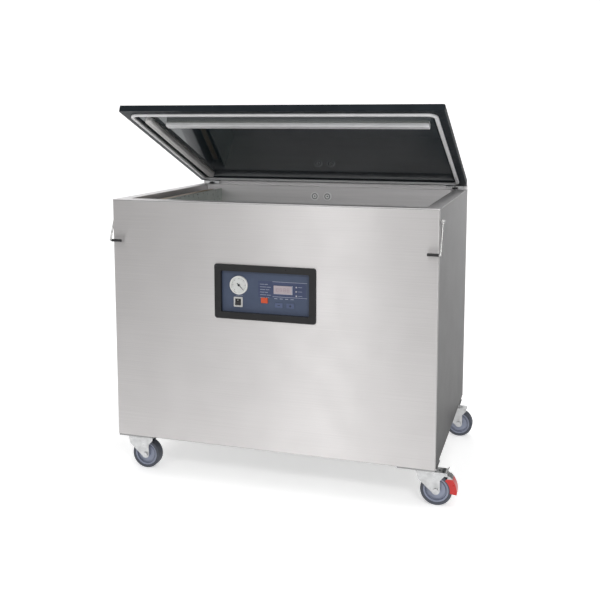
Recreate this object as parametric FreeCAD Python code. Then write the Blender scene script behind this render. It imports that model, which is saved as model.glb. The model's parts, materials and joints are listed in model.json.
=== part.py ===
import FreeCAD, Part

import math
import os

Vector = FreeCAD.Vector

# A floor-standing chamber vacuum packing machine on castors, in millimetres.
# X runs to the operator's right, Y runs away from the operator and Z is up.
# The origin is on the floor, in the middle of the overall width and depth.
# Places on the cabinet are given as insets: from its left side, its front face or its rim.

# ---- overall sizes ----
cabinet_width = 1080.0
cabinet_depth = 760.0
cabinet_height = 804.0
panel_above_castors = 6.0
sheet = 1.5
joint_gap = 0.5

# ---- chamber and deck ----
deck_thickness = 3.0
chamber_wall = 3.0
chamber_depth = 180.0
front_rim = 45.0
side_rim = 45.0
rear_rim = 70.0
rear_upstand_height = 16.0
rear_upstand_thickness = 3.0
chamber_corner_radius = 12.0
port_pitch = 51.0
port_offset = -15.5
port_below_rim = 36.5
port_bore_radius = 7.0
port_tube_radius = 11.0
port_flange_radius = 16.5
port_flange_thickness = 4.0
port_tail = 14.0

# ---- lid ----
lid_open_angle = 22.0
lid_thickness = 20.5
lid_frame_wall = 3.0
lid_lower_flange = 42.0
lid_upper_flange = 30.0
hinge_axis_inset = 12.0
lid_to_hinge_axis = 12.0
gasket_inset = 24.0
gasket_width = 12.0
gasket_height = 8.0
gasket_corner_radius = 32.0
seal_gap = 0.3

# ---- hinges and gas springs ----
hinge_side_inset = 45.0
hinge_barrel_radius = 8.0
hinge_barrel_length = 22.0
hinge_knuckle_length = 20.0
hinge_pin_radius = 5.0
running_clearance = 0.05
leaf_thickness = 4.0
crank_length = 60.0
crank_angle = 45.0
crank_thickness = 6.0
crank_half_width = 6.0
crank_stud_radius = 4.0
rod_eye_slack = 1.9
rod_eye_radius = 9.0
rod_eye_thickness = 8.0
spring_anchor_below_rim = 165.0
spring_anchor_from_wall = 32.0
spring_tube_radius = 11.0
spring_rod_radius = 5.0
spring_tube_share = 0.55

# ---- sealing bars ----
bar_width = 24.0
bar_height = 34.0
bar_travel = 8.0
tape_thickness = 1.0
pressure_bar_height = 18.5
front_bar_inset = 106.0
front_bar_left_inset = 132.0
front_bar_right_inset = 57.0
left_bar_inset = 81.0
left_bar_front_inset = 58.0
left_bar_rear_gap = 40.0
shield_gap = 13.0
cylinder_radius = 17.0
piston_radius = 8.0
cylinder_from_bar_end = 100.0

# ---- control unit ----
bezel_width = 340.0
bezel_height = 178.0
bezel_offset = -8.5
bezel_above_panel_bottom = 518.0
bezel_flange = 4.0
bezel_frame_width = 22.0
bezel_wall = 2.0
bezel_corner_radius = 9.0
fascia_recess = 12.0
fascia_thickness = 3.0
gauge_radius = 30.0
gauge_height = 8.0
gauge_place = (-89.0, 21.0)
gauge_rest_angle = -45.0
rocker_place = (-92.0, -34.0)
rocker_size = (22.0, 24.0)
rocker_rim = 4.0
rocker_axis_depth = 2.0
rocker_tilt = 9.0
display_place = (58.0, 13.0)
display_size = (60.0, 26.0)
stop_key_place = (-3.0, -24.0)
stop_key_size = (22.0, 17.0)
key_places = ((45.0, -37.0), (83.0, -37.0))
key_size = (28.0, 18.0)
led_places = ((103.0, 24.0), (103.0, 10.0), (103.0, -4.0))
led_radius = 2.6

# ---- hold-down levers ----
lever_pivot_front_inset = 32.0
lever_pivot_below_rim = 40.0
lever_drop = 96.0
lever_rod_radius = 3.0
lever_standoff = 5.4
lever_eye_radius = 7.0
lever_eye_width = 7.0
lever_pivot_radius = 3.5
grip_radius = 4.5
grip_gap = 6.0
grip_reach = 33.0

# ---- base frame and castors ----
rail_width = 60.0
rail_height = 40.0
rail_wall = 2.0
gusset_size = 116.0
gusset_thickness = 4.0
castor_side_inset = 40.0
castor_front_inset = 65.0
castor_rear_inset = 79.0
wheel_radius = 50.0
wheel_width = 32.0
tyre_thickness = 10.0
castor_trail = 37.0
axle_radius = 5.0
castor_plate_size = 84.0
castor_plate_thickness = 3.0
castor_hole_spacing = 60.0
castor_stud_radius = 4.0
fork_sheet = 3.0
fork_side_gap = 2.5
race_radius = 31.0
king_pin_radius = 7.0
pedal_clearance = 3.0
pedal_thickness = 12.0
pedal_cheek_reach = 9.0
pedal_pivot_reach = 66.0
pedal_pivot_drop = 7.0
pedal_pin_radius = 3.0

# ---- rear panel and cable gland ----
gland_bore_radius = 6.5
gland_radius = 13.0
gland_reach = 24.0
gland_above_panel_bottom = 127.0
gland_side_inset = 120.0
louvre_rows = 9
louvre_pitch = 22.0
louvre_length = 120.0
louvre_height = 9.0
louvre_depth = 6.0
screw_head_radius = 4.5
screw_head_height = 2.5

# ---- machine room ----
pump_x = -130.0
pump_y = 60.0
pump_length = 240.0
pump_width = 230.0
pump_height = 240.0
pump_foot_height = 14.0
pump_inlet_height = 24.0
motor_radius = 88.0
motor_length = 250.0
hose_radius = 17.0

# ---- sizes that follow from those above ----
front_reach = grip_gap + 2 * grip_radius
rear_reach = gland_reach
y_front = front_reach - (cabinet_depth + front_reach + rear_reach) / 2
y_rear = y_front + cabinet_depth
x_left = -cabinet_width / 2
x_right = cabinet_width / 2
fork_height = 2 * wheel_radius + 10.0
castor_top = fork_height + 17.0
panel_bottom_height = castor_top + panel_above_castors
panel_top = panel_bottom_height + cabinet_height - deck_thickness
rim = panel_top + deck_thickness
hinge_y = y_rear - hinge_axis_inset
hinge_z = rim + gasket_height + seal_gap
lid_rear_y = hinge_y - lid_to_hinge_axis
glass_bottom = hinge_z + lid_frame_wall
pressure_bar_bottom = glass_bottom - pressure_bar_height
tape_top = pressure_bar_bottom - bar_travel - joint_gap
bar_top = tape_top - tape_thickness
bar_bottom = bar_top - bar_height
chamber_floor = rim - chamber_depth
chamber_left = x_left + side_rim
chamber_right = x_right - side_rim
chamber_front = y_front + front_rim
chamber_rear = y_rear - rear_rim
gland_height = panel_bottom_height + gland_above_panel_bottom
frame_bottom = castor_top + gusset_thickness
frame_top = frame_bottom + rail_height
frame_inset = sheet + 2 * joint_gap
tray_top = frame_top + sheet
pump_bottom = tray_top + pump_foot_height
pump_top = pump_bottom + pump_height
panel_return = 12.0
rear_return = 7.0
front_bar_x0 = x_left + front_bar_left_inset
front_bar_x1 = x_right - front_bar_right_inset
front_bar_y = y_front + front_bar_inset
left_bar_x = x_left + left_bar_inset
left_bar_y0 = y_front + left_bar_front_inset
left_bar_y1 = chamber_rear - left_bar_rear_gap
bezel_x = bezel_offset
bezel_z = panel_bottom_height + bezel_above_panel_bottom
fascia_y = y_front - bezel_flange + fascia_recess
rocker_axis_y = fascia_y + rocker_axis_depth
lever_pivot_y = y_front + lever_pivot_front_inset
lever_pivot_z = rim - lever_pivot_below_rim
grip_y = y_front - grip_gap - grip_radius
grip_z = lever_pivot_z - lever_drop


def box(x0, x1, y0, y1, z0, z1):
    """A block between two values on each axis."""
    return Part.makeBox(x1 - x0, y1 - y0, z1 - z0, Vector(x0, y0, z0))


def rod(radius, start, end):
    """A round bar between two points."""
    first = Vector(*start)
    along = Vector(*end) - first
    return Part.makeCylinder(radius, along.Length, first, along)


def ring(outer, inner, start, end):
    """A round tube between two points."""
    return rod(outer, start, end).cut(rod(inner, start, end))


def profile(points, sweep):
    """A flat outline through 3-D points, pushed along the sweep vector."""
    corners = [Vector(*point) for point in points]
    outline = Part.makePolygon(corners + [corners[0]])
    return Part.Face(outline).extrude(Vector(*sweep))


def round_edges(shape, radius, direction):
    """Round every straight edge that runs along one direction."""
    chosen = []
    for edge in shape.Edges:
        if isinstance(edge.Curve, Part.Line):
            along = edge.tangentAt(edge.FirstParameter)
            if abs(abs(along.dot(Vector(*direction))) - 1) < 1e-6:
                chosen.append(edge)
    return shape.makeFillet(radius, chosen)


def rounded_block(x0, x1, y0, y1, z0, z1, radius, direction=(0, 0, 1)):
    """A block with the four edges along one direction rounded."""
    return round_edges(box(x0, x1, y0, y1, z0, z1), radius, direction)


def fuse_all(shapes):
    """One solid from several that touch or overlap."""
    whole = shapes[0].fuse(shapes[1:]) if len(shapes) > 1 else shapes[0]
    return whole.removeSplitter()


def hexagon(radius):
    """The six corners of a hexagon about its centre."""
    turns = [math.radians(angle) for angle in range(0, 360, 60)]
    return [(radius * math.cos(turn), radius * math.sin(turn)) for turn in turns]


def save(node, shapes):
    """Write one sub-part, made of one or more separate solids."""
    solids = []
    for shape in shapes:
        solids.extend(shape.Solids)
    Part.makeCompound(solids).exportStep("parts/" + node + ".step")


def mirror_x(shape):
    """The same piece on the other side of the machine."""
    return shape.mirror(Vector(0, 0, 0), Vector(1, 0, 0))


def open_lid(shape):
    """Turn a piece drawn on the closed lid to where the open lid holds it."""
    turned = shape.copy()
    turned.rotate(Vector(0, hinge_y, hinge_z), Vector(1, 0, 0), -lid_open_angle)
    return turned


# ---------------------------------------------------------------- base and cabinet

def square_tube_x(x0, x1, y0):
    """A rectangular steel tube that runs along X."""
    outer = box(x0, x1, y0, y0 + rail_width, frame_bottom, frame_top)
    bore = box(x0, x1, y0 + rail_wall, y0 + rail_width - rail_wall,
               frame_bottom + rail_wall, frame_top - rail_wall)
    return outer.cut(bore)


def square_tube_y(y0, y1, x0):
    """A rectangular steel tube that runs along Y."""
    outer = box(x0, x0 + rail_width, y0, y1, frame_bottom, frame_top)
    bore = box(x0 + rail_wall, x0 + rail_width - rail_wall, y0, y1,
               frame_bottom + rail_wall, frame_top - rail_wall)
    return outer.cut(bore)


def castor_places():
    """Name, kingpin X, kingpin Y, trail direction and whether it has a brake."""
    west = x_left + castor_side_inset
    east = x_right - castor_side_inset
    front = y_front + castor_front_inset
    back = y_rear - castor_rear_inset
    return (
        ("front_left", west, front, 1, False),
        ("front_right", east, front, 1, True),
        ("rear_left", west, back, -1, True),
        ("rear_right", east, back, 1, False),
    )


def castor_centres():
    """X and Y of every castor's kingpin."""
    return [(x, y) for name, x, y, trail, brake in castor_places()]


def castor_studs(x, y):
    """The four stud positions of one castor plate."""
    half = castor_hole_spacing / 2
    return [(x + i * half, y + j * half) for i in (-1, 1) for j in (-1, 1)]


def base_frame():
    """Welded tubes, with a stud plate under each corner for its castor."""
    x0 = x_left + frame_inset
    x1 = x_right - frame_inset
    y0 = y_front + frame_inset
    y1 = y_rear - frame_inset
    pieces = [
        square_tube_x(x0, x1, y0),
        square_tube_x(x0, x1, y1 - rail_width),
        square_tube_y(y0 + rail_width, y1 - rail_width, x0),
        square_tube_y(y0 + rail_width, y1 - rail_width, x1 - rail_width),
    ]
    for share in (1 / 3, 2 / 3):
        middle = x0 + (x1 - x0) * share
        pieces.append(square_tube_y(y0 + rail_width, y1 - rail_width, middle - rail_width / 2))
    for x, y in castor_centres():
        gx0 = x0 if x < 0 else x1 - gusset_size
        gy0 = y0 if y < 0 else y1 - gusset_size
        plate = box(gx0, gx0 + gusset_size, gy0, gy0 + gusset_size, castor_top, frame_bottom)
        studs = []
        for sx, sy in castor_studs(x, y):
            tip = castor_top - castor_plate_thickness - 9
            studs.append(rod(castor_stud_radius, (sx, sy, frame_bottom), (sx, sy, tip)))
        pieces.append(fuse_all([plate] + studs))
    save("base_frame", pieces)


def bottom_tray():
    """The sheet floor of the machine room, with cooling slots."""
    inset = panel_return + joint_gap
    rear_inset = rear_return + joint_gap
    tray = box(x_left + inset, x_right - inset, y_front + inset, y_rear - rear_inset,
               frame_top, frame_top + sheet)
    slots = []
    for i in range(-5, 6):
        slots.append(rounded_block(i * 24 - 4, i * 24 + 4, -60, 60,
                                   frame_top - 1, frame_top + sheet + 1, 3.9))
    save("bottom_tray", [tray.cut(Part.makeCompound(slots))])


def front_panel():
    """A folded sheet with rounded vertical bends and the control cut-out."""
    outer = box(x_left, x_right, y_front, y_front + panel_return, panel_bottom_height, panel_top)
    edges = [edge for edge in outer.Edges
             if abs(edge.BoundBox.YMax - y_front) < 1e-6 and edge.BoundBox.ZLength > 1]
    outer = outer.makeFillet(4.0, edges)
    inner = box(x_left + sheet, x_right - sheet, y_front + sheet, y_front + panel_return,
                panel_bottom_height - 1, panel_top - sheet)
    edges = [edge for edge in inner.Edges
             if abs(edge.BoundBox.YMax - y_front - sheet) < 1e-6 and edge.BoundBox.ZLength > 1]
    inner = inner.makeFillet(2.5, edges)
    width = bezel_width - 2 * bezel_frame_width + 2 * bezel_wall + 2 * joint_gap
    height = bezel_height - 2 * bezel_frame_width + 2 * bezel_wall + 2 * joint_gap
    hole = box(bezel_x - width / 2, bezel_x + width / 2, y_front - 1, y_front + sheet + 1,
               bezel_z - height / 2, bezel_z + height / 2)
    save("front_panel", [outer.cut(inner).cut(hole)])


def side_panel(side):
    """A plain folded side sheet with returns at the front, back and top."""
    y0 = y_front + panel_return + joint_gap
    y1 = y_rear - rear_return - joint_gap
    outer = box(x_left, x_left + panel_return, y0, y1, panel_bottom_height, panel_top)
    inner = box(x_left + sheet, x_left + panel_return, y0 + sheet, y1 - sheet,
                panel_bottom_height - 1, panel_top - sheet)
    hole = rod(lever_pivot_radius, (x_left - 1, lever_pivot_y, lever_pivot_z),
               (x_left + sheet + 1, lever_pivot_y, lever_pivot_z))
    # The returns stop above the base frame, which stands closer to the sheet than they reach.
    frame_room = box(x_left + sheet, x_left + panel_return + 1, y0 - 1, y1 + 1,
                     panel_bottom_height - 1, frame_top + joint_gap)
    panel = outer.cut(inner).cut(hole).cut(frame_room)
    return panel if side < 0 else mirror_x(panel)


def louvre_places():
    """Centre X and top Z of every louvre on the rear panel, in two columns."""
    places = []
    for column in (-1, 1):
        for row in range(louvre_rows):
            z = panel_bottom_height + 190 + row * louvre_pitch
            places.append((column * (louvre_length * 0.75), z))
    return places


def rear_panel():
    """A folded rear sheet with pressed cooling louvres, held by screws."""
    outer = box(x_left, x_right, y_rear - rear_return, y_rear, panel_bottom_height, panel_top)
    inner = box(x_left + sheet, x_right - sheet, y_rear - rear_return, y_rear - sheet,
                panel_bottom_height - 1, panel_top - sheet)
    panel = outer.cut(inner)
    gland_x = x_right - gland_side_inset
    cuts = [rod(gland_radius - 3, (gland_x, y_rear - 3, gland_height),
                (gland_x, y_rear + 1, gland_height))]
    hoods = []
    for x, z in louvre_places():
        half = louvre_length / 2
        cuts.append(box(x - half, x + half, y_rear - sheet - 1, y_rear + 1, z - louvre_height, z - 2))
        hoods.append(profile([(x - half, y_rear, z), (x - half, y_rear + louvre_depth, z - louvre_height),
                              (x - half, y_rear + louvre_depth - 1.2, z - louvre_height),
                              (x - half, y_rear - sheet, z - 2.4), (x - half, y_rear - sheet, z)],
                             (louvre_length, 0, 0)))
    panel = panel.cut(Part.makeCompound(cuts))
    save("rear_panel", [fuse_all([panel] + hoods)])


def rear_screw_places():
    """Centres of the rear panel's screws."""
    inset = 20.0
    columns = (x_left + inset, -cabinet_width / 6, cabinet_width / 6, x_right - inset)
    rows = (panel_bottom_height + inset, panel_top - inset)
    places = [(x, z) for x in columns for z in rows]
    middle = (panel_bottom_height + panel_top) / 2
    places += [(x_left + inset, middle), (x_right - inset, middle)]
    return places


def fasteners():
    """Rear panel screws and the castor nuts."""
    pieces = []
    for x, z in rear_screw_places():
        head = rod(screw_head_radius, (x, y_rear, z), (x, y_rear + screw_head_height, z))
        edges = [edge for edge in head.Edges if edge.BoundBox.YMin > y_rear + screw_head_height - 1e-3]
        head = head.makeFillet(1.2, edges)
        slot = box(x - 0.5, x + 0.5, y_rear + 1.4, y_rear + 3, z - 3, z + 3)
        cross = box(x - 3, x + 3, y_rear + 1.4, y_rear + 3, z - 0.5, z + 0.5)
        pieces.append(head.cut(slot).cut(cross))
    top = castor_top - castor_plate_thickness
    for x, y in castor_centres():
        for sx, sy in castor_studs(x, y):
            corners = [(sx + dx, sy + dy, top) for dx, dy in hexagon(7.5)]
            nut = profile(corners, (0, 0, -6))
            bore = rod(castor_stud_radius + running_clearance, (sx, sy, top + 1), (sx, sy, top - 7))
            pieces.append(nut.cut(bore))
    save("fasteners", pieces)


# ---------------------------------------------------------------- chamber and sealing bars

def spring_anchor():
    """The lower pivot of the gas springs, in the Y-Z plane."""
    return chamber_rear + chamber_wall + spring_anchor_from_wall, rim - spring_anchor_below_rim


def port_places():
    """Centre X of each chamber port."""
    return [port_offset - port_pitch / 2, port_offset + port_pitch / 2]


def crank_x():
    """X of the left hinge's crank, in the middle of its barrel."""
    return x_left + hinge_side_inset


def vacuum_chamber():
    """The deck with its rear upstand, the tub under it and the lugs that hold the gas springs."""
    deck = box(x_left, x_right, y_front, y_rear, rim - deck_thickness, rim)
    edges = [edge for edge in deck.Edges
             if edge.BoundBox.ZMin > rim - 1e-3 and edge.BoundBox.YMax < y_rear - 1e-3]
    deck = deck.makeFillet(1.2, edges)
    tub = rounded_block(chamber_left - chamber_wall, chamber_right + chamber_wall,
                        chamber_front - chamber_wall, chamber_rear + chamber_wall,
                        chamber_floor - chamber_wall, rim - 1, chamber_corner_radius + chamber_wall)
    hollow = rounded_block(chamber_left, chamber_right, chamber_front, chamber_rear,
                           chamber_floor, rim + 1, chamber_corner_radius)
    body = deck.fuse(tub).cut(hollow)
    upstand = box(x_left + joint_gap, x_right - joint_gap, y_rear - rear_upstand_thickness, y_rear,
                  rim - 1, rim + rear_upstand_height)
    anchor_y, anchor_z = spring_anchor()
    wall_y = chamber_rear + chamber_wall
    additions = [upstand]
    cuts = []
    for side in (-1, 1):
        x = side * abs(crank_x())
        slot_half = crank_thickness / 2 + 3
        cuts.append(box(x - slot_half, x + slot_half, hinge_y - 26, hinge_y + 8, rim - 6, rim + 2))
        lug_in = spring_x(side) - side * (spring_tube_radius + 1)
        lug_out = lug_in - side * 5
        additions.append(box(min(lug_in, lug_out), max(lug_in, lug_out), wall_y - 1, anchor_y + 9,
                             anchor_z - 10, anchor_z + 10))
        additions.append(rod(crank_stud_radius, (lug_in - side, anchor_y, anchor_z),
                             (x + side * (rod_eye_thickness / 2 + 3), anchor_y, anchor_z)))
    for x in port_places():
        cuts.append(rod(port_tube_radius + 0.2, (x, chamber_rear - 1, rim - port_below_rim),
                        (x, wall_y + 1, rim - port_below_rim)))
    body = fuse_all([body] + additions).cut(Part.makeCompound(cuts))
    save("vacuum_chamber", [body])


def chamber_ports():
    """Two flanged bushes in the chamber's back wall, for suction and venting."""
    z = rim - port_below_rim
    pieces = []
    for x in port_places():
        flange = rod(port_flange_radius, (x, chamber_rear - port_flange_thickness, z), (x, chamber_rear, z))
        edges = [edge for edge in flange.Edges
                 if edge.BoundBox.YMax < chamber_rear - port_flange_thickness + 1e-3]
        flange = flange.makeFillet(1.5, edges)
        tube = rod(port_tube_radius, (x, chamber_rear, z), (x, chamber_rear + chamber_wall + port_tail, z))
        bore = rod(port_bore_radius, (x, chamber_rear - 10, z), (x, chamber_rear + 40, z))
        pieces.append(fuse_all([flange, tube]).cut(bore))
    save("chamber_ports", pieces)


def cylinder_places():
    """Centres of the lift cylinders: two under the front bar and two under the left bar."""
    reach = cylinder_from_bar_end
    return [
        (front_bar_x0 + reach, front_bar_y),
        (front_bar_x1 - reach, front_bar_y),
        (left_bar_x, left_bar_y0 + reach),
        (left_bar_x, left_bar_y1 - reach),
    ]


def lift_cylinders():
    """Short air cylinders on the chamber floor, which lift the sealing bars."""
    top = bar_bottom - 6
    pieces = []
    for x, y in cylinder_places():
        body = rod(cylinder_radius, (x, y, chamber_floor), (x, y, top))
        base = box(x - 24, x + 24, y - 18, y + 18, chamber_floor, chamber_floor + 6)
        bore = rod(piston_radius + running_clearance, (x, y, chamber_floor + 20), (x, y, top + 1))
        pieces.append(fuse_all([body, base]).cut(bore))
    save("lift_cylinders", pieces)


def seal_bars():
    """The aluminium front and left bars, each on two piston rods."""
    half = bar_width / 2
    front = rounded_block(front_bar_x0, front_bar_x1, front_bar_y - half, front_bar_y + half,
                          bar_bottom, bar_top, 2.0, (1, 0, 0))
    left = rounded_block(left_bar_x - half, left_bar_x + half, left_bar_y0, left_bar_y1,
                         bar_bottom, bar_top, 2.0, (0, 1, 0))
    places = cylinder_places()
    pieces = []
    for bar, ends in ((front, places[:2]), (left, places[2:])):
        rods = [rod(piston_radius, (x, y, chamber_floor + 30), (x, y, bar_bottom)) for x, y in ends]
        pieces.append(fuse_all([bar] + rods))
    save("seal_bars", pieces)


def seal_tapes():
    """Non-stick tape over the heating strips, on top of both bars."""
    half = bar_width / 2 - 3
    front = rounded_block(front_bar_x0 + 4, front_bar_x1 - 4, front_bar_y - half, front_bar_y + half,
                          bar_top, tape_top, 3.0)
    left = rounded_block(left_bar_x - half, left_bar_x + half, left_bar_y0 + 4, left_bar_y1 - 4,
                         bar_top, tape_top, 3.0)
    save("seal_tapes", [front, left])


def seal_bar_shields():
    """Upright sheets with a folded foot, which keep the goods off the sealing bars."""
    top = bar_top + 2
    x = left_bar_x + bar_width / 2 + shield_gap
    y = front_bar_y + bar_width / 2 + shield_gap
    foot = 14.0
    left = fuse_all([
        box(x, x + sheet, left_bar_y0, chamber_rear - joint_gap, chamber_floor, top),
        box(x - foot, x, left_bar_y0, chamber_rear - joint_gap, chamber_floor, chamber_floor + sheet)])
    for cx, cy in cylinder_places()[2:]:
        left = left.cut(box(x - foot - 1, x - 0.01, cy - 25, cy + 25, chamber_floor - 1, chamber_floor + 3))
    x0 = x + sheet + joint_gap
    x1 = chamber_right - joint_gap
    front = fuse_all([
        box(x0, x1, y, y + sheet, chamber_floor, top),
        box(x0, x1, y + sheet, y + foot, chamber_floor, chamber_floor + sheet)])
    save("seal_bar_shields", [left, front])


# ---------------------------------------------------------------- lid

def lid_frame():
    """A black channel around the glass, wide below for the gasket and narrow above."""
    z0 = hinge_z
    z1 = hinge_z + lid_thickness
    wall = lid_frame_wall
    outer = rounded_block(x_left, x_right, y_front, lid_rear_y, z0, z1, 5.0)
    pocket = box(x_left + wall, x_right - wall, y_front + wall, lid_rear_y - wall, z0 + wall, z1 - wall)
    lower = box(x_left + lid_lower_flange, x_right - lid_lower_flange, y_front + lid_lower_flange,
                lid_rear_y - lid_lower_flange, z0 - 1, z0 + wall + 1)
    upper = box(x_left + lid_upper_flange, x_right - lid_upper_flange, y_front + lid_upper_flange,
                lid_rear_y - lid_upper_flange, z1 - wall - 1, z1 + 1)
    save("lid_frame", [open_lid(outer.cut(pocket).cut(lower).cut(upper))])


def lid_glass():
    """The smoked pane, which fills the channel."""
    inset = lid_frame_wall + joint_gap
    pane = rounded_block(x_left + inset, x_right - inset, y_front + inset, lid_rear_y - inset,
                         glass_bottom, hinge_z + lid_thickness - lid_frame_wall, 4.0)
    save("lid_glass", [open_lid(pane)])


def lid_gasket():
    """A white seal around the underside, with a rounded face."""
    z0 = hinge_z - gasket_height
    edge = gasket_inset
    outer = rounded_block(x_left + edge, x_right - edge, y_front + edge, lid_rear_y - edge,
                          z0, hinge_z, gasket_corner_radius)
    edge = gasket_inset + gasket_width
    inner = rounded_block(x_left + edge, x_right - edge, y_front + edge, lid_rear_y - edge,
                          z0 - 1, hinge_z + 1, gasket_corner_radius - gasket_width)
    seal = outer.cut(inner)
    lower = [item for item in seal.Edges if item.BoundBox.ZMax < z0 + 1e-3]
    save("lid_gasket", [open_lid(seal.makeFillet(4.0, lower))])


def pressure_bars():
    """White silicone bars under the glass, one over each sealing bar."""
    half = bar_width / 2
    z0 = pressure_bar_bottom
    front = box(front_bar_x0, front_bar_x1, front_bar_y - half, front_bar_y + half, z0, glass_bottom)
    lower = [edge for edge in front.Edges if edge.BoundBox.ZMax < z0 + 1e-3]
    front = front.makeFillet(3.0, lower)
    left = rounded_block(left_bar_x - half, left_bar_x + half, left_bar_y0, left_bar_y1,
                         z0, glass_bottom, half - 0.1)
    lower = [edge for edge in left.Edges if edge.BoundBox.ZMax < z0 + 1e-3]
    left = left.makeFillet(3.0, lower)
    save("pressure_bars", [open_lid(front), open_lid(left)])


# ---------------------------------------------------------------- hinges and gas springs

def crank_end():
    """The crank's stud on the open lid, in the Y-Z plane."""
    angle = math.radians(crank_angle)
    return hinge_y - crank_length * math.cos(angle), hinge_z - crank_length * math.sin(angle)


def hinge_brackets():
    """Knuckle blocks welded on the deck, a pair at each hinge."""
    pieces = []
    inner = hinge_barrel_length / 2 + joint_gap
    for side in (-1, 1):
        centre = side * abs(crank_x())
        for end in (-1, 1):
            a = centre + end * inner
            b = centre + end * (inner + hinge_knuckle_length)
            x0 = min(a, b)
            x1 = max(a, b)
            block = fuse_all([
                box(x0, x1, hinge_y - hinge_barrel_radius, hinge_y + hinge_barrel_radius, rim, hinge_z),
                rod(hinge_barrel_radius, (x0, hinge_y, hinge_z), (x1, hinge_y, hinge_z))])
            bore = rod(hinge_pin_radius + running_clearance, (x0 - 1, hinge_y, hinge_z),
                       (x1 + 1, hinge_y, hinge_z))
            pieces.append(block.cut(bore))
    save("hinge_brackets", pieces)


def hinge_pins():
    """One pin through each hinge, with a head at both ends."""
    pieces = []
    reach = hinge_barrel_length / 2 + joint_gap + hinge_knuckle_length
    for side in (-1, 1):
        centre = side * abs(crank_x())
        shaft = rod(hinge_pin_radius, (centre - reach, hinge_y, hinge_z),
                    (centre + reach, hinge_y, hinge_z))
        heads = [rod(hinge_barrel_radius - 1, (centre + end * reach, hinge_y, hinge_z),
                     (centre + end * (reach + 2.5), hinge_y, hinge_z)) for end in (-1, 1)]
        pieces.append(fuse_all([shaft] + heads))
    save("hinge_pins", pieces)


def hinge_leaf(centre):
    """A leaf on the lid's rear edge, its barrel, and the crank that a gas spring pushes."""
    half = hinge_barrel_length / 2
    plate = box(centre - half, centre + half, lid_rear_y, lid_rear_y + leaf_thickness,
                hinge_z, hinge_z + lid_thickness)
    web = box(centre - half, centre + half, lid_rear_y, hinge_y, hinge_z, hinge_z + 4)
    leaf = open_lid(fuse_all([plate, web]))
    barrel = rod(hinge_barrel_radius, (centre - half, hinge_y, hinge_z), (centre + half, hinge_y, hinge_z))
    end_y, end_z = crank_end()
    across = Vector(0, hinge_z - end_z, end_y - hinge_y).normalize() * crank_half_width
    x0 = centre - crank_thickness / 2
    crank = profile([(x0, hinge_y + across.y, hinge_z + across.z),
                     (x0, hinge_y - across.y, hinge_z - across.z),
                     (x0, end_y - across.y, end_z - across.z), (x0, end_y + across.y, end_z + across.z)],
                    (crank_thickness, 0, 0))
    boss = rod(crank_half_width, (x0, end_y, end_z), (x0 + crank_thickness, end_y, end_z))
    outward = 1 if centre < 0 else -1
    face = centre + outward * crank_thickness / 2
    stud = rod(crank_stud_radius, (centre, end_y, end_z),
               (face + outward * (rod_eye_thickness + 4), end_y, end_z))
    collar = rod(rod_eye_radius - 1, (face + outward * (rod_eye_thickness + 2), end_y, end_z),
                 (face + outward * (rod_eye_thickness + 4), end_y, end_z))
    bore = rod(hinge_pin_radius + running_clearance, (centre - half - 1, hinge_y, hinge_z),
               (centre + half + 1, hinge_y, hinge_z))
    return fuse_all([leaf, barrel, crank, boss, stud, collar]).cut(bore)


def spring_x(side):
    """X of a gas spring, beside its crank on the side towards the middle."""
    return side * (abs(crank_x()) - crank_thickness / 2 - rod_eye_thickness / 2 - 1)


def gas_springs():
    """Tubes on the chamber's lugs, and rods whose eyes hold the cranks' studs."""
    anchor_y, anchor_z = spring_anchor()
    end_y, end_z = crank_end()
    length = math.hypot(end_y - anchor_y, end_z - anchor_z)
    along_y = (end_y - anchor_y) / length
    along_z = (end_z - anchor_z) / length
    tube_length = length * spring_tube_share
    tubes = []
    rods = []

    def at(x, distance):
        return (x, anchor_y + along_y * distance, anchor_z + along_z * distance)

    half_eye = rod_eye_thickness / 2
    for side in (-1, 1):
        x = spring_x(side)
        eye = rod(rod_eye_radius, (x - half_eye, anchor_y, anchor_z), (x + half_eye, anchor_y, anchor_z))
        neck = rod(rod_eye_radius - 2, at(x, 5), at(x, 15))
        pin_hole = rod(crank_stud_radius + running_clearance, (x - 20, anchor_y, anchor_z),
                       (x + 20, anchor_y, anchor_z))
        barrel = rod(spring_tube_radius, at(x, 14), at(x, 14 + tube_length))
        bore = rod(spring_rod_radius + running_clearance, at(x, 24), at(x, 20 + tube_length))
        tubes.append(fuse_all([eye, neck, barrel]).cut(pin_hole).cut(bore))
        top_eye = rod(rod_eye_radius, (x - half_eye, end_y, end_z), (x + half_eye, end_y, end_z))
        slack = rod(crank_stud_radius + rod_eye_slack, (x - 20, end_y, end_z), (x + 20, end_y, end_z))
        shaft = rod(spring_rod_radius, at(x, 45), at(x, length - rod_eye_radius + 2))
        rods.append(fuse_all([shaft, top_eye]).cut(slack))
    save("gas_spring_tubes", tubes)
    save("gas_spring_rods", rods)


# ---------------------------------------------------------------- levers

def lever_pivot():
    """The spacer, bolt and head that carry the left lever."""
    y = lever_pivot_y
    z = lever_pivot_z
    inner = lever_standoff - lever_eye_width / 2
    outer = lever_standoff + lever_eye_width / 2
    spacer = rod(lever_eye_radius - 1, (x_left - 0.01, y, z), (x_left - inner + 0.3, y, z))
    bolt = rod(lever_pivot_radius - running_clearance, (x_left + sheet + 6, y, z), (x_left - outer - 2, y, z))
    head = rod(lever_eye_radius - 1, (x_left - outer - 0.3, y, z), (x_left - outer - 2.8, y, z))
    nut = rod(lever_eye_radius - 1, (x_left + sheet, y, z), (x_left + sheet + 6, y, z))
    return fuse_all([spacer, bolt, head, nut])


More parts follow.
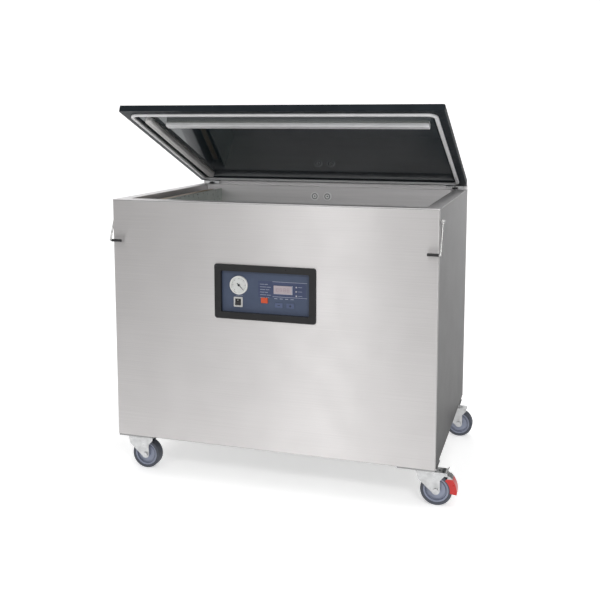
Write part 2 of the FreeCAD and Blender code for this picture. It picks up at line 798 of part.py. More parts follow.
def lever():
    """The left lever: an eye, a straight arm and a peg bent across the front."""
    x = x_left - lever_standoff
    eye = rod(lever_eye_radius, (x - lever_eye_width / 2, lever_pivot_y, lever_pivot_z),
              (x + lever_eye_width / 2, lever_pivot_y, lever_pivot_z))
    arm = rod(lever_rod_radius, (x, lever_pivot_y, lever_pivot_z), (x, grip_y, grip_z))
    elbow = Part.makeSphere(lever_rod_radius, Vector(x, grip_y, grip_z))
    peg = rod(lever_rod_radius, (x, grip_y, grip_z), (x_left + grip_reach, grip_y, grip_z))
    hole = rod(lever_pivot_radius, (x - 20, lever_pivot_y, lever_pivot_z),
               (x + 20, lever_pivot_y, lever_pivot_z))
    return fuse_all([eye, arm, elbow, peg]).cut(hole)


def lever_grip():
    """A black sleeve on the left lever's peg, closed at its end."""
    start = x_left - lever_standoff + lever_rod_radius + 2
    end = x_left + grip_reach
    sleeve = rod(grip_radius, (start, grip_y, grip_z), (end + 2, grip_y, grip_z))
    edges = [edge for edge in sleeve.Edges if edge.BoundBox.XMin > end + 1]
    sleeve = sleeve.makeFillet(1.8, edges)
    return sleeve.cut(rod(lever_rod_radius + 0.02, (start - 1, grip_y, grip_z), (end + 0.02, grip_y, grip_z)))


# ---------------------------------------------------------------- control unit

def control_bezel():
    """A black frame with rounded corners, whose throat leads back to the fascia."""
    half_w = bezel_width / 2
    half_h = bezel_height / 2
    open_w = half_w - bezel_frame_width
    open_h = half_h - bezel_frame_width
    back = fascia_y + fascia_thickness
    flange = rounded_block(bezel_x - half_w, bezel_x + half_w, y_front - bezel_flange, y_front,
                           bezel_z - half_h, bezel_z + half_h, bezel_corner_radius, (0, 1, 0))
    front_edges = [edge for edge in flange.Edges
                   if edge.BoundBox.YMax < y_front - bezel_flange + 1e-3]
    flange = flange.makeFillet(1.5, front_edges)
    throat = box(bezel_x - open_w - bezel_wall, bezel_x + open_w + bezel_wall, y_front - 1, back,
                 bezel_z - open_h - bezel_wall, bezel_z + open_h + bezel_wall)
    opening = rounded_block(bezel_x - open_w, bezel_x + open_w, y_front - bezel_flange - 1, back + 1,
                            bezel_z - open_h, bezel_z + open_h, 4.0, (0, 1, 0))
    save("control_bezel", [fuse_all([flange, throat]).cut(opening)])


def on_fascia(place):
    """X and Z of a place given from the bezel's centre."""
    return bezel_x + place[0], bezel_z + place[1]


def fascia_pad(place, size, front, back, radius=2.0):
    """A rounded rectangular pad standing on or through the fascia."""
    x, z = on_fascia(place)
    return rounded_block(x - size[0] / 2, x + size[0] / 2, front, back,
                         z - size[1] / 2, z + size[1] / 2, radius, (0, 1, 0))


def control_fascia():
    """The blue-grey plate that carries the gauge, the display, the keys and the switch."""
    half_w = bezel_width / 2 - bezel_frame_width - joint_gap / 2
    half_h = bezel_height / 2 - bezel_frame_width - joint_gap / 2
    back = fascia_y + fascia_thickness
    plate = rounded_block(bezel_x - half_w, bezel_x + half_w, fascia_y, back,
                          bezel_z - half_h, bezel_z + half_h, 4.0, (0, 1, 0))
    gx, gz = on_fascia(gauge_place)
    cuts = [rod(gauge_radius - 3 + 0.2, (gx, fascia_y - 1, gz), (gx, back + 1, gz))]
    cuts.append(fascia_pad(rocker_place, (rocker_size[0] + 1, rocker_size[1] + 1),
                           fascia_y - 1, back + 1, 1.0))
    cuts.append(fascia_pad(stop_key_place, (stop_key_size[0] + 1, stop_key_size[1] + 1),
                           fascia_y - 1, back + 1))
    for place in led_places:
        x, z = on_fascia(place)
        cuts.append(rod(led_radius + 0.1, (x, fascia_y - 1, z), (x, back + 1, z)))
    plate = plate.cut(Part.makeCompound(cuts))
    keys = [fascia_pad(place, key_size, fascia_y - 1.2, fascia_y, 3.0) for place in key_places]
    save("control_fascia", [fuse_all([plate] + keys)])


def gauge():
    """A dial case through the fascia, its glass, and a needle on a spindle."""
    x, z = on_fascia(gauge_place)
    front = fascia_y - gauge_height
    back = fascia_y + 22
    collar = rod(gauge_radius, (x, front, z), (x, fascia_y, z))
    edges = [edge for edge in collar.Edges if edge.BoundBox.YMax < front + 1e-3]
    collar = collar.makeFillet(2.0, edges)
    body = rod(gauge_radius - 3, (x, fascia_y, z), (x, back, z))
    well = rod(gauge_radius - 4, (x, front - 1, z), (x, front + 6.5, z))
    spindle = rod(1.5, (x, front + 6.5, z), (x, front + 3.6, z))
    save("gauge_case", [fuse_all([fuse_all([collar, body]).cut(well), spindle])])
    save("gauge_glass", [rod(gauge_radius - 4.1, (x, front + 0.8, z), (x, front + 2.3, z))])
    turn = math.radians(gauge_rest_angle)
    across = (-math.sin(turn), math.cos(turn))
    along = (math.cos(turn), math.sin(turn))
    tip = gauge_radius - 9

    def spot(forward, sideways):
        return (x + along[0] * forward + across[0] * sideways, front + 4.2,
                z + along[1] * forward + across[1] * sideways)

    pointer = profile([spot(-8, -1.6), spot(tip, -0.4), spot(tip, 0.4), spot(-8, 1.6)], (0, 1.0, 0))
    hub = rod(3.5, (x, front + 3.0, z), (x, front + 5.6, z))
    bore = rod(1.5 + running_clearance, (x, front + 3.5, z), (x, front + 7, z))
    save("gauge_needle", [fuse_all([pointer, hub]).cut(bore)])


def display_and_leds():
    """The display window on the fascia and the lamps beside it."""
    window = fascia_pad(display_place, display_size, fascia_y - 1.5, fascia_y, 1.5)
    save("display_window", [window])
    lamps = []
    for place in led_places:
        x, z = on_fascia(place)
        stem = rod(led_radius, (x, fascia_y - 1.0, z), (x, fascia_y + fascia_thickness, z))
        dome = Part.makeSphere(led_radius, Vector(x, fascia_y - 1.0, z))
        lamps.append(fuse_all([stem, dome]))
    save("indicator_leds", lamps)


def power_switch():
    """A rocker switch: its frame on the fascia and the rocker tilted to off."""
    x, z = on_fascia(rocker_place)
    half_w = rocker_size[0] / 2
    half_h = rocker_size[1] / 2
    back = fascia_y + 18
    flange = rounded_block(x - half_w - rocker_rim, x + half_w + rocker_rim, fascia_y - 2.5, fascia_y,
                           z - half_h - rocker_rim, z + half_h + rocker_rim, 2.0, (0, 1, 0))
    shell = box(x - half_w, x + half_w, fascia_y - 1, back, z - half_h, z + half_h)
    well = box(x - half_w + 1, x + half_w - 1, fascia_y - 5, back - 2, z - half_h + 1, z + half_h - 1)
    pin = rod(1.2, (x - half_w + 0.5, rocker_axis_y, z), (x + half_w - 0.5, rocker_axis_y, z))
    save("rocker_frame", [fuse_all([fuse_all([flange, shell]).cut(well), pin])])
    reach = half_h - 2.4
    body = profile([(x - half_w + 1.3, rocker_axis_y - 6.2, z + reach),
                    (x - half_w + 1.3, rocker_axis_y - 4.6, z),
                    (x - half_w + 1.3, rocker_axis_y - 6.2, z - reach),
                    (x - half_w + 1.3, rocker_axis_y + 0.5, z - reach + 1.5),
                    (x - half_w + 1.3, rocker_axis_y + 3.5, z),
                    (x - half_w + 1.3, rocker_axis_y + 0.5, z + reach - 1.5)],
                   (rocker_size[0] - 2.6, 0, 0))
    hole = rod(1.2 + running_clearance, (x - half_w, rocker_axis_y, z), (x + half_w, rocker_axis_y, z))
    rocker = body.cut(hole)
    rocker.rotate(Vector(x, rocker_axis_y, z), Vector(1, 0, 0), -rocker_tilt)
    save("power_rocker", [rocker])


def stop_key():
    """A red push key with a flange behind the fascia that holds it in."""
    cap = fascia_pad(stop_key_place, stop_key_size, fascia_y - 3, fascia_y + fascia_thickness + 1)
    flange = fascia_pad(stop_key_place, (stop_key_size[0] + 4, stop_key_size[1] + 4),
                        fascia_y + fascia_thickness + 0.3, fascia_y + fascia_thickness + 1.8)
    save("stop_key", [fuse_all([cap, flange])])


def control_board():
    """The circuit board behind the fascia, on four spacers."""
    half_w = 140.0
    half_h = 62.0
    front = fascia_y + fascia_thickness + 12
    board = box(bezel_x - half_w, bezel_x + half_w, front, front + 1.6, bezel_z - half_h, bezel_z + half_h)
    gx, gz = on_fascia(gauge_place)
    rx, rz = on_fascia(rocker_place)
    cuts = [
        box(gx - gauge_radius, gx + gauge_radius, front - 1, front + 3, gz - gauge_radius, gz + half_h),
        box(rx - 20, rx + 20, front - 1, front + 3, rz - 20, rz + 20),
    ]
    chips = [box(bezel_x + 20 + i * 34, bezel_x + 42 + i * 34, front + 1.6, front + 6,
                 bezel_z - 16, bezel_z + 10) for i in range(3)]
    relays = [box(bezel_x + 10 + i * 30, bezel_x + 30 + i * 30, front + 1.6, front + 18,
                  bezel_z - 56, bezel_z - 28) for i in range(4)]
    posts = []
    for x in (bezel_x - 40, bezel_x + half_w - 6):
        for z in (bezel_z - half_h + 6, bezel_z + half_h - 6):
            posts.append(rod(3, (x, fascia_y + fascia_thickness, z), (x, front + 1, z)))
    body = board.cut(Part.makeCompound(cuts))
    save("control_board", [fuse_all([body] + chips + relays + posts)])


# ---------------------------------------------------------------- machine room

def vacuum_pump():
    """A rotary vane pump: a finned casing with an oil case, feet and an inlet flange."""
    x0 = pump_x - pump_length / 2
    x1 = pump_x + pump_length / 2
    y0 = pump_y - pump_width / 2
    y1 = pump_y + pump_width / 2
    z0 = pump_bottom
    casing = rounded_block(x0, x1, y0, y1, z0, pump_top, 16.0, (1, 0, 0))
    fins = []
    for i in range(7):
        fx = x0 + 24 + i * 32
        fins.append(box(fx, fx + 5, y0 - 10, y1 + 10, z0 + 50, pump_top - 30))
    feet = [box(x0 + 20 + i * (pump_length - 80), x0 + 60 + i * (pump_length - 80), y0 - 16, y1 + 16,
                tray_top, z0 + 8) for i in (0, 1)]
    inlet = rod(30, (pump_x + 60, pump_y, pump_top - 5), (pump_x + 60, pump_y, pump_top + pump_inlet_height))
    glass_boss = rod(16, (x0 - 4, pump_y, z0 + 60), (x0 + 4, pump_y, z0 + 60))
    save("vacuum_pump", [fuse_all([casing] + fins + feet + [inlet, glass_boss])])


def pump_motor():
    """The flange-mounted electric motor with cooling ribs, a terminal box and a fan cowl."""
    x0 = pump_x + pump_length / 2
    z = pump_bottom + pump_height / 2
    body = rod(motor_radius - 8, (x0, pump_y, z), (x0 + motor_length, pump_y, z))
    parts = [body, rod(motor_radius, (x0, pump_y, z), (x0 + 14, pump_y, z)),
             rod(motor_radius, (x0 + motor_length - 60, pump_y, z), (x0 + motor_length, pump_y, z))]
    for i in range(16):
        rib = box(x0 + 14, x0 + motor_length - 60, pump_y - 2, pump_y + 2,
                  z + motor_radius - 12, z + motor_radius - 1)
        rib.rotate(Vector(x0, pump_y, z), Vector(1, 0, 0), i * 22.5 + 11.25)
        parts.append(rib)
    parts.append(box(x0 + 50, x0 + 130, pump_y - 35, pump_y + 35,
                     z + motor_radius - 20, z + motor_radius + 30))
    foot = box(x0 + 60, x0 + 140, pump_y - 70, pump_y + 70, tray_top, tray_top + 10)
    leg = box(x0 + 70, x0 + 130, pump_y - 30, pump_y + 30, tray_top, z - motor_radius + 14)
    save("pump_motor", [fuse_all(parts + [foot, leg])])


def exhaust_filter():
    """The oil mist filter, a ribbed canister on the pump."""
    x = pump_x - 60
    z0 = pump_top
    can = rod(48, (x, pump_y, z0), (x, pump_y, z0 + 110))
    top = rod(52, (x, pump_y, z0 + 96), (x, pump_y, z0 + 108))
    cap = rod(14, (x, pump_y, z0 + 110), (x, pump_y, z0 + 122))
    save("exhaust_filter", [fuse_all([can, top, cap])])


def hose_route():
    """Corners of the suction hose, from the pump's inlet to the suction valve."""
    start_z = pump_top + pump_inlet_height
    valve_y = chamber_rear + chamber_wall + port_tail + 20
    valve_z = rim - port_below_rim - 62
    x = port_places()[0]
    turn_z = start_z + 60
    return [(pump_x + 60, pump_y, start_z), (pump_x + 60, pump_y, turn_z),
            (x, valve_y, turn_z), (x, valve_y, valve_z)]


def vacuum_hose():
    """A reinforced hose of straight runs joined by tangent arcs."""
    points = [Vector(*point) for point in hose_route()]
    edges = []
    last = points[0]
    for i in range(1, len(points) - 1):
        into = (points[i] - points[i - 1]).normalize()
        away = (points[i + 1] - points[i]).normalize()
        turn = into.getAngle(away)
        shorter = min((points[i] - points[i - 1]).Length, (points[i + 1] - points[i]).Length)
        trim = min(0.45 * shorter, 60.0 * math.tan(turn / 2))
        begin = points[i] - into * trim
        finish = points[i] + away * trim
        bisector = (away - into).normalize()
        radius = trim / math.tan(turn / 2)
        reach = radius / math.cos(turn / 2) - radius
        edges.append(Part.LineSegment(last, begin).toShape())
        edges.append(Part.Arc(begin, points[i] + bisector * reach, finish).toShape())
        last = finish
    edges.append(Part.LineSegment(last, points[-1]).toShape())
    path = Part.Wire(edges)
    section = Part.Wire([Part.makeCircle(hose_radius, points[0], Vector(0, 0, 1))])
    save("vacuum_hose", [path.makePipeShell([section], True, False)])


def solenoid_valves():
    """The suction valve and the vent valve on the chamber's ports."""
    y0 = chamber_rear + chamber_wall + port_tail
    z = rim - port_below_rim
    pieces = []
    for i, x in enumerate(port_places()):
        block = box(x - 20, x + 20, y0, y0 + 36, z - 30, z + 22)
        side = -1 if i == 0 else 1
        coil = rod(14, (x + side * 19, y0 + 18, z - 4), (x + side * 62, y0 + 18, z - 4))
        parts = [block, coil]
        if i == 0:
            parts.append(rod(hose_radius + 3, (x, y0 + 20, z - 29), (x, y0 + 20, z - 62)))
        pieces.append(fuse_all(parts))
    save("solenoid_valves", pieces)


def seal_transformer():
    """The sealing transformer, a laminated core with two windings."""
    x = cabinet_width / 2 - 190
    y = y_front + 230
    z = tray_top
    core = box(x - 70, x + 70, y - 30, y + 30, z + 6, z + 126)
    for centre in (x - 28, x + 28):
        core = core.cut(box(centre - 16, centre + 16, y - 31, y + 31, z + 28, z + 104))
    winding = rounded_block(x - 42, x + 42, y - 50, y + 50, z + 30, z + 102, 8.0, (0, 0, 1))
    feet = [box(x + side * 60 - 14, x + side * 60 + 14, y - 45, y + 45, z, z + 8) for side in (-1, 1)]
    save("seal_transformer", [fuse_all([core, winding] + feet)])


def cable_gland():
    """The mains cable gland in the rear panel: a hexagon, a dome nut and a thread."""
    x = x_right - gland_side_inset
    z = gland_height
    body = profile([(x + dx, y_rear, z + dz) for dx, dz in hexagon(gland_radius)], (0, 8, 0))
    dome = rod(gland_radius - 2.5, (x, y_rear + 8, z), (x, y_rear + gland_reach, z))
    edges = [edge for edge in dome.Edges if edge.BoundBox.YMin > y_rear + gland_reach - 1e-3]
    dome = dome.makeFillet(2.0, edges)
    thread = rod(gland_radius - 3.2, (x, y_rear, z), (x, y_rear - 14, z))
    nut = [(x + dx, y_rear - sheet, z + dz) for dx, dz in hexagon(gland_radius + 1)]
    lock_nut = profile(nut, (0, -5, 0))
    bore = rod(gland_bore_radius, (x, y_rear - 20, z), (x, y_rear + gland_reach + 1, z))
    save("cable_gland", [fuse_all([body, dome, thread, lock_nut]).cut(bore)])


# ---------------------------------------------------------------- castors

def castor_plates():
    """Each castor's top plate with its upper race and riveted kingpin."""
    pieces = []
    half = castor_plate_size / 2
    under = castor_top - castor_plate_thickness
    for x, y in castor_centres():
        plate = rounded_block(x - half, x + half, y - half, y + half, under, castor_top, 8.0)
        race = rod(race_radius, (x, y, fork_height + 6.5), (x, y, under))
        lip = [edge for edge in race.Edges if edge.BoundBox.ZMax < fork_height + 7]
        race = race.makeFillet(3.0, lip)
        pin = rod(king_pin_radius, (x, y, under), (x, y, fork_height - fork_sheet - 1))
        rivet = rod(king_pin_radius + 4, (x, y, fork_height - fork_sheet - 0.5),
                    (x, y, fork_height - fork_sheet - 3.5))
        holes = [rod(castor_stud_radius + 0.3, (sx, sy, under - 1), (sx, sy, castor_top + 1))
                 for sx, sy in castor_studs(x, y)]
        pieces.append(fuse_all([plate, race, pin, rivet]).cut(Part.makeCompound(holes)))
    save("castor_plates", pieces)


def castor_fork(x, y, trail, brake):
    """A pressed fork: a crown with a lower race, two cheeks, and a rivet for the pedal."""
    crown_z = fork_height
    inner = wheel_width / 2 + fork_side_gap
    outer = inner + fork_sheet
    head = rod(race_radius + 2, (x, y, crown_z - fork_sheet), (x, y, crown_z))
    crown_end = x + trail * (castor_trail + 27)
    plate_end = crown_end - trail * 9 if brake else crown_end
    crown = box(min(x, plate_end), max(x, plate_end), y - outer, y + outer, crown_z - fork_sheet, crown_z)
    crown = crown.cut(rod(5.0, (x + trail * 46, y, crown_z - 10), (x + trail * 46, y, crown_z + 5)))
    race = rod(race_radius + 2, (x, y, crown_z), (x, y, crown_z + 6))
    lip = [edge for edge in race.Edges if edge.BoundBox.ZMin > crown_z + 5]
    race = race.makeFillet(3.0, lip)
    wheel_x = x + trail * castor_trail
    parts = [head, crown, race]
    faces = (y - outer, y + inner)
    for face in faces:
        cheek = profile([
            (x - trail * 26, face, crown_z), (crown_end, face, crown_z),
            (crown_end, face, crown_z - 10), (wheel_x + trail * 13, face, crown_z - 26),
            (wheel_x + trail * 13, face, wheel_radius), (wheel_x - trail * 12, face, wheel_radius - 6),
            (x - trail * 20, face, crown_z - 26)], (0, fork_sheet, 0))
        boss = rod(13, (wheel_x, face, wheel_radius), (wheel_x, face + fork_sheet, wheel_radius))
        parts += [cheek, boss]
    bores = [
        rod(king_pin_radius + running_clearance, (x, y, crown_z - 10), (x, y, crown_z + 10)),
        rod(axle_radius, (wheel_x, y - 40, wheel_radius), (wheel_x, y + 40, wheel_radius)),
    ]
    if brake:
        px = x + trail * pedal_pivot_reach
        pz = fork_height - pedal_pivot_drop
        for face in faces:
            parts.append(profile([(crown_end - trail * 6, face, crown_z), (px + trail * 6, face, crown_z - 1),
                                  (px + trail * 6, face, pz - 5),
                                  (crown_end - trail * 6, face, crown_z - 10)],
                                 (0, fork_sheet, 0)))
    whole = fuse_all(parts).cut(Part.makeCompound(bores))
    if brake:
        pin = rod(pedal_pin_radius, (px, y - outer - 1.5, pz), (px, y + outer + 1.5, pz))
        whole = fuse_all([whole, pin])
    return [whole, axle_bolt(wheel_x, y, outer)]


def axle_bolt(x, y, outer):
    """The wheel's bolt, with a round head and a nut outside the cheeks."""
    shaft = rod(axle_radius - running_clearance, (x, y - outer - 4, wheel_radius),
                (x, y + outer + 4, wheel_radius))
    head = rod(8.5, (x, y - outer - 5, wheel_radius), (x, y - outer, wheel_radius))
    nut = rod(8.5, (x, y + outer, wheel_radius), (x, y + outer + 5, wheel_radius))
    return fuse_all([shaft, head, nut])


def castor_hub(x, y):
    """A moulded core with a raised rim, a thin web and a long boss."""
    half = wheel_width / 2
    rim_radius = wheel_radius - tyre_thickness
    core = ring(rim_radius, rim_radius - 5, (x, y - half + 2, wheel_radius), (x, y + half - 2, wheel_radius))
    web = ring(rim_radius - 4, axle_radius + 3, (x, y - 5, wheel_radius), (x, y + 5, wheel_radius))
    step = ring(rim_radius - 11, 12, (x, y - 8, wheel_radius), (x, y + 8, wheel_radius))
    boss = ring(14, axle_radius, (x, y - half - fork_side_gap + 0.5, wheel_radius),
                (x, y + half + fork_side_gap - 0.5, wheel_radius))
    return fuse_all([core, web, step, boss])


def castor_tyre(x, y):
    """A grey tread with rounded shoulders on the core."""
    half = wheel_width / 2
    tread = ring(wheel_radius, wheel_radius - tyre_thickness + 0.02,
                 (x, y - half, wheel_radius), (x, y + half, wheel_radius))
    shoulders = [edge for edge in tread.Edges
                 if edge.BoundBox.ZLength > 2 * wheel_radius - 1 and edge.BoundBox.YLength < 1]
    return tread.makeFillet(4.0, shoulders)


def brake_pedal(x, y, trail):
    """A pedal around the tyre's tread and shoulders, on a pin at the fork's tail, with a release tab."""
    wheel_x = x + trail * castor_trail
    px = x + trail * pedal_pivot_reach
    pz = fork_height - pedal_pivot_drop
    half = wheel_width / 2 + fork_side_gap - 0.7
    inner = wheel_radius + pedal_clearance
    outer = inner + pedal_thickness
    shell = ring(outer, inner, (wheel_x, y - half, wheel_radius), (wheel_x, y + half, wheel_radius))
    cheeks = [ring(inner + 1, inner - pedal_cheek_reach, (wheel_x, face, wheel_radius),
                   (wheel_x, face + 1.2, wheel_radius)) for face in (y - half, y + half - 1.2)]
    reach = 2 * outer
    corners = [(0, 0)]
    for angle in (-8, 21, 50):
        turn = math.radians(angle)
        corners.append((reach * math.cos(turn), reach * math.sin(turn)))
    sector = profile([(wheel_x + trail * dx, y - half - 1, wheel_radius + dz) for dx, dz in corners],
                     (0, 2 * half + 2, 0))
    shell = shell.common(sector)
    cheeks = [cheek.common(sector) for cheek in cheeks]
    barrel = rod(6, (px, y - half, pz), (px, y + half, pz))
    top_angle = math.radians(44)
    mid = inner + pedal_thickness / 2
    ax = wheel_x + trail * mid * math.cos(top_angle)
    az = wheel_radius + mid * math.sin(top_angle)
    neck = profile([(px - trail * 4, y - half, pz + 1), (px + trail * 6, y - half, pz),
                    (ax + trail * 5, y - half, az), (ax - trail * 3.2, y - half, az + 3)], (0, 2 * half, 0))
    tab = profile([(px + trail * 2, y - 10, pz), (px + trail * 6, y - 10, pz),
                   (px + trail * 10, y - 10, pz + 17), (px + trail * 7, y - 10, pz + 17)], (0, 20, 0))
    hole = rod(pedal_pin_radius + running_clearance, (px, y - half - 1, pz), (px, y + half + 1, pz))
    clear = rod(inner, (wheel_x, y - half - 1, wheel_radius), (wheel_x, y + half + 1, wheel_radius))
    return fuse_all([fuse_all([shell, barrel, neck, tab]).cut(hole).cut(clear)] + cheeks)


def castors():
    """The four castors, each with its own fork, core and tyre, and a pedal where it has a brake."""
    castor_plates()
    for name, x, y, trail, brake in castor_places():
        save("castor_fork_" + name, castor_fork(x, y, trail, brake))
        save("castor_hub_" + name, [castor_hub(x + trail * castor_trail, y)])
        save("castor_tyre_" + name, [castor_tyre(x + trail * castor_trail, y)])
        if brake:
            save("brake_pedal_" + name, [brake_pedal(x, y, trail)])


def cabinet():
    """The base, the panels and what is fastened to them."""
    base_frame()
    bottom_tray()
    front_panel()
    save("left_panel", [side_panel(-1)])
    save("right_panel", [side_panel(1)])
    rear_panel()
    fasteners()
    cable_gland()


def chamber():
    """The chamber and what is inside it."""
    vacuum_chamber()
    chamber_ports()
    lift_cylinders()
    seal_bars()
    seal_tapes()
    seal_bar_shields()


def lid():
    """The lid and what carries it."""
    lid_frame()
    lid_glass()
    lid_gasket()
    pressure_bars()
    hinge_brackets()
    hinge_pins()
    save("hinge_leaves", [hinge_leaf(crank_x()), hinge_leaf(-crank_x())])
    gas_springs()


def levers():
    """The two hold-down levers and their pivots."""
    save("lever_pivots", [lever_pivot(), mirror_x(lever_pivot())])
    save("left_lever", [lever()])
    save("right_lever", [mirror_x(lever())])
    save("left_lever_grip", [lever_grip()])
    save("right_lever_grip", [mirror_x(lever_grip())])


def controls():
    """The control unit in the front panel."""
    control_bezel()
    control_fascia()
    gauge()
    display_and_leds()
    power_switch()
    stop_key()
    control_board()


def machine_room():
    """What the cabinet holds under the chamber."""
    vacuum_pump()
    pump_motor()
    exhaust_filter()
    vacuum_hose()
    solenoid_valves()
    seal_transformer()


os.makedirs("parts", exist_ok=True)
cabinet()
chamber()
lid()
levers()
controls()
machine_room()
castors()
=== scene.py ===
import json
import math

import bmesh
import bpy
from mathutils import Matrix, Vector


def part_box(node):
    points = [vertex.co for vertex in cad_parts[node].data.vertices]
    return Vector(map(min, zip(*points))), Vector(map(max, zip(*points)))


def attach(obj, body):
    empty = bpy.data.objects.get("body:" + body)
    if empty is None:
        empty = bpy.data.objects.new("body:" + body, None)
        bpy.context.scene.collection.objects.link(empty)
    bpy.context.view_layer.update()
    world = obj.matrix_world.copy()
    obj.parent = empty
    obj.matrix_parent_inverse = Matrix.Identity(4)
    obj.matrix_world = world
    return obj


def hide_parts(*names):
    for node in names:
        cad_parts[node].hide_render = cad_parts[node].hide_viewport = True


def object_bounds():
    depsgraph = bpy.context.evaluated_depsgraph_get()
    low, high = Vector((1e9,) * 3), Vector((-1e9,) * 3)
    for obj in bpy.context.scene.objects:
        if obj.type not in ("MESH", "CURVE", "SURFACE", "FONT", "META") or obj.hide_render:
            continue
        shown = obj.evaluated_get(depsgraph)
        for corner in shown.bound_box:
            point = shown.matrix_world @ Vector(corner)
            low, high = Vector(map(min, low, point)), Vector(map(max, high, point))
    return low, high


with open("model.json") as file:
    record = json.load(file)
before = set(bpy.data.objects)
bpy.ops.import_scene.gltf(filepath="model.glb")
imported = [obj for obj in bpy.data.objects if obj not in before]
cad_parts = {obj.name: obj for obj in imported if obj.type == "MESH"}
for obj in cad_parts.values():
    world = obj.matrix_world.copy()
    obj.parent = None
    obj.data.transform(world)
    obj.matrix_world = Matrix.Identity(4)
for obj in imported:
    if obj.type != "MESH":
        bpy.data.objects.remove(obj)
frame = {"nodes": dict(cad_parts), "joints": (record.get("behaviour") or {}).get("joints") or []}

cad_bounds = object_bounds()
NODES = frame["nodes"]
JOINTS = {joint["name"]: joint for joint in frame["joints"]}


# ---------------------------------------------------------------- sizes in metres

# The heights between which painted shade darkens a side sheet's colour towards the floor, the deck's top
# below the lid's hinge, and the height where a brake pedal's moulding ends.
PAINTED_SHADE_FOOT_Z = 0.15
PAINTED_SHADE_HEAD_Z = 0.92
DECK_BELOW_HINGE = 0.0083
PEDAL_MOULDING_Z = 0.090

# The place and the direction of the camera, and its lens.
CAMERA_PLACE = (0.875, -2.8905, 1.200)
CAMERA_YAW = 17.0
CAMERA_PITCH = 6.89
CAMERA_LENS = 51.17
CAMERA_SHIFT = -0.13


# ---------------------------------------------------------------- node helpers

class Graph:
    """A material's node tree, with short calls for the nodes used here."""

    def __init__(self, name):
        self.material = bpy.data.materials.new(name)
        self.material.use_nodes = True
        self.tree = self.material.node_tree
        self.shader = self.tree.nodes["Principled BSDF"]

    def node(self, kind, **settings):
        made = self.tree.nodes.new(kind)
        for key, value in settings.items():
            setattr(made, key, value)
        return made

    def link(self, source, target):
        self.tree.links.new(source, target)

    def feed(self, socket, value):
        if isinstance(value, (int, float, tuple, list)):
            if socket.type == "RGBA" and isinstance(value, (tuple, list)) and len(value) == 3:
                value = (*value, 1.0)
            socket.default_value = value
        else:
            self.link(value, socket)

    def place(self, scale=(1, 1, 1)):
        """Object coordinates in metres, stretched by a scale on each axis."""
        coords = self.node("ShaderNodeTexCoord")
        mapping = self.node("ShaderNodeMapping")
        self.feed(mapping.inputs["Scale"], scale)
        self.link(coords.outputs["Object"], mapping.inputs["Vector"])
        return mapping.outputs["Vector"]

    def noise(self, scale, detail=3.0, stretch=(1, 1, 1), rough=0.55):
        made = self.node("ShaderNodeTexNoise")
        self.link(self.place(stretch), made.inputs["Vector"])
        made.inputs["Scale"].default_value = scale
        made.inputs["Detail"].default_value = detail
        made.inputs["Roughness"].default_value = rough
        return made.outputs["Fac"]

    def between(self, value, low, high, from_low=0.0, from_high=1.0):
        made = self.node("ShaderNodeMapRange")
        self.feed(made.inputs["Value"], value)
        made.inputs["From Min"].default_value = from_low
        made.inputs["From Max"].default_value = from_high
        made.inputs["To Min"].default_value = low
        made.inputs["To Max"].default_value = high
        return made.outputs["Result"]

    def mix(self, factor, first, second):
        made = self.node("ShaderNodeMix", data_type="RGBA")
        self.feed(made.inputs["Factor"], factor)
        self.feed(made.inputs["A"], first)
        self.feed(made.inputs["B"], second)
        return made.outputs["Result"]

    def bump(self, height, strength, distance, after=None):
        made = self.node("ShaderNodeBump")
        made.inputs["Strength"].default_value = strength
        made.inputs["Distance"].default_value = distance
        self.link(height, made.inputs["Height"])
        if after is not None:
            self.link(after, made.inputs["Normal"])
        return made.outputs["Normal"]

    def finish(self, **sockets):
        names = {"color": "Base Color", "rough": "Roughness", "metal": "Metallic", "normal": "Normal",
                 "coat": "Coat Weight", "coat_rough": "Coat Roughness", "aniso": "Anisotropic",
                 "turn": "Anisotropic Rotation", "tangent": "Tangent", "transmission": "Transmission Weight",
                 "ior": "IOR", "alpha": "Alpha", "emit": "Emission Color", "power": "Emission Strength",
                 "specular": "Specular IOR Level", "edge": "Specular Tint"}
        for key, value in sockets.items():
            self.feed(self.shader.inputs[names[key]], value)
        return self.material


def brushed(name, tone, grain, low=0.26, high=0.4, aniso=0.6, foot=1.0, edge=1.0):
    """Brushed stainless steel. The grain is the scale of each axis: small along the brushing.

    foot is how much of its tone the sheet keeps at the floor under painted shade, and edge how much it
    reflects edge-on.
    """
    g = Graph(name)
    fine = g.noise(1.0, 5.0, grain, 0.65)
    cloud = g.noise(2.6, 2.0)
    smudge = g.noise(11.0, 4.0)
    color = g.mix(g.between(fine, 0.0, 1.0, 0.3, 0.7), tuple(c * 0.92 for c in tone),
                  tuple(min(c * 1.05, 1) for c in tone))
    color = g.mix(g.between(cloud, 0.0, 0.3, 0.3, 0.75), color, tuple(c * 0.94 for c in tone))
    # Painted shade: the sheet's colour darkens from the head height down to the floor.
    if foot < 1.0:
        split = g.node("ShaderNodeSeparateXYZ")
        g.link(g.place(), split.inputs[0])
        down = g.between(split.outputs["Z"], 1.0, 0.0, PAINTED_SHADE_FOOT_Z, PAINTED_SHADE_HEAD_Z)
        color = g.mix(down, color, tuple(c * foot for c in tone))
    rough = g.node("ShaderNodeMath", operation="ADD")
    g.link(g.between(fine, low, high, 0.25, 0.75), rough.inputs[0])
    g.link(g.between(smudge, -0.012, 0.016, 0.35, 0.65), rough.inputs[1])
    tangent = g.node("ShaderNodeTangent", direction_type="RADIAL", axis="Z")
    normal = g.bump(fine, 0.08, 0.0003)
    return g.finish(color=color, rough=rough.outputs[0], metal=1.0, aniso=aniso, turn=0.25,
                    tangent=tangent.outputs[0], normal=normal, edge=(edge, edge, edge))


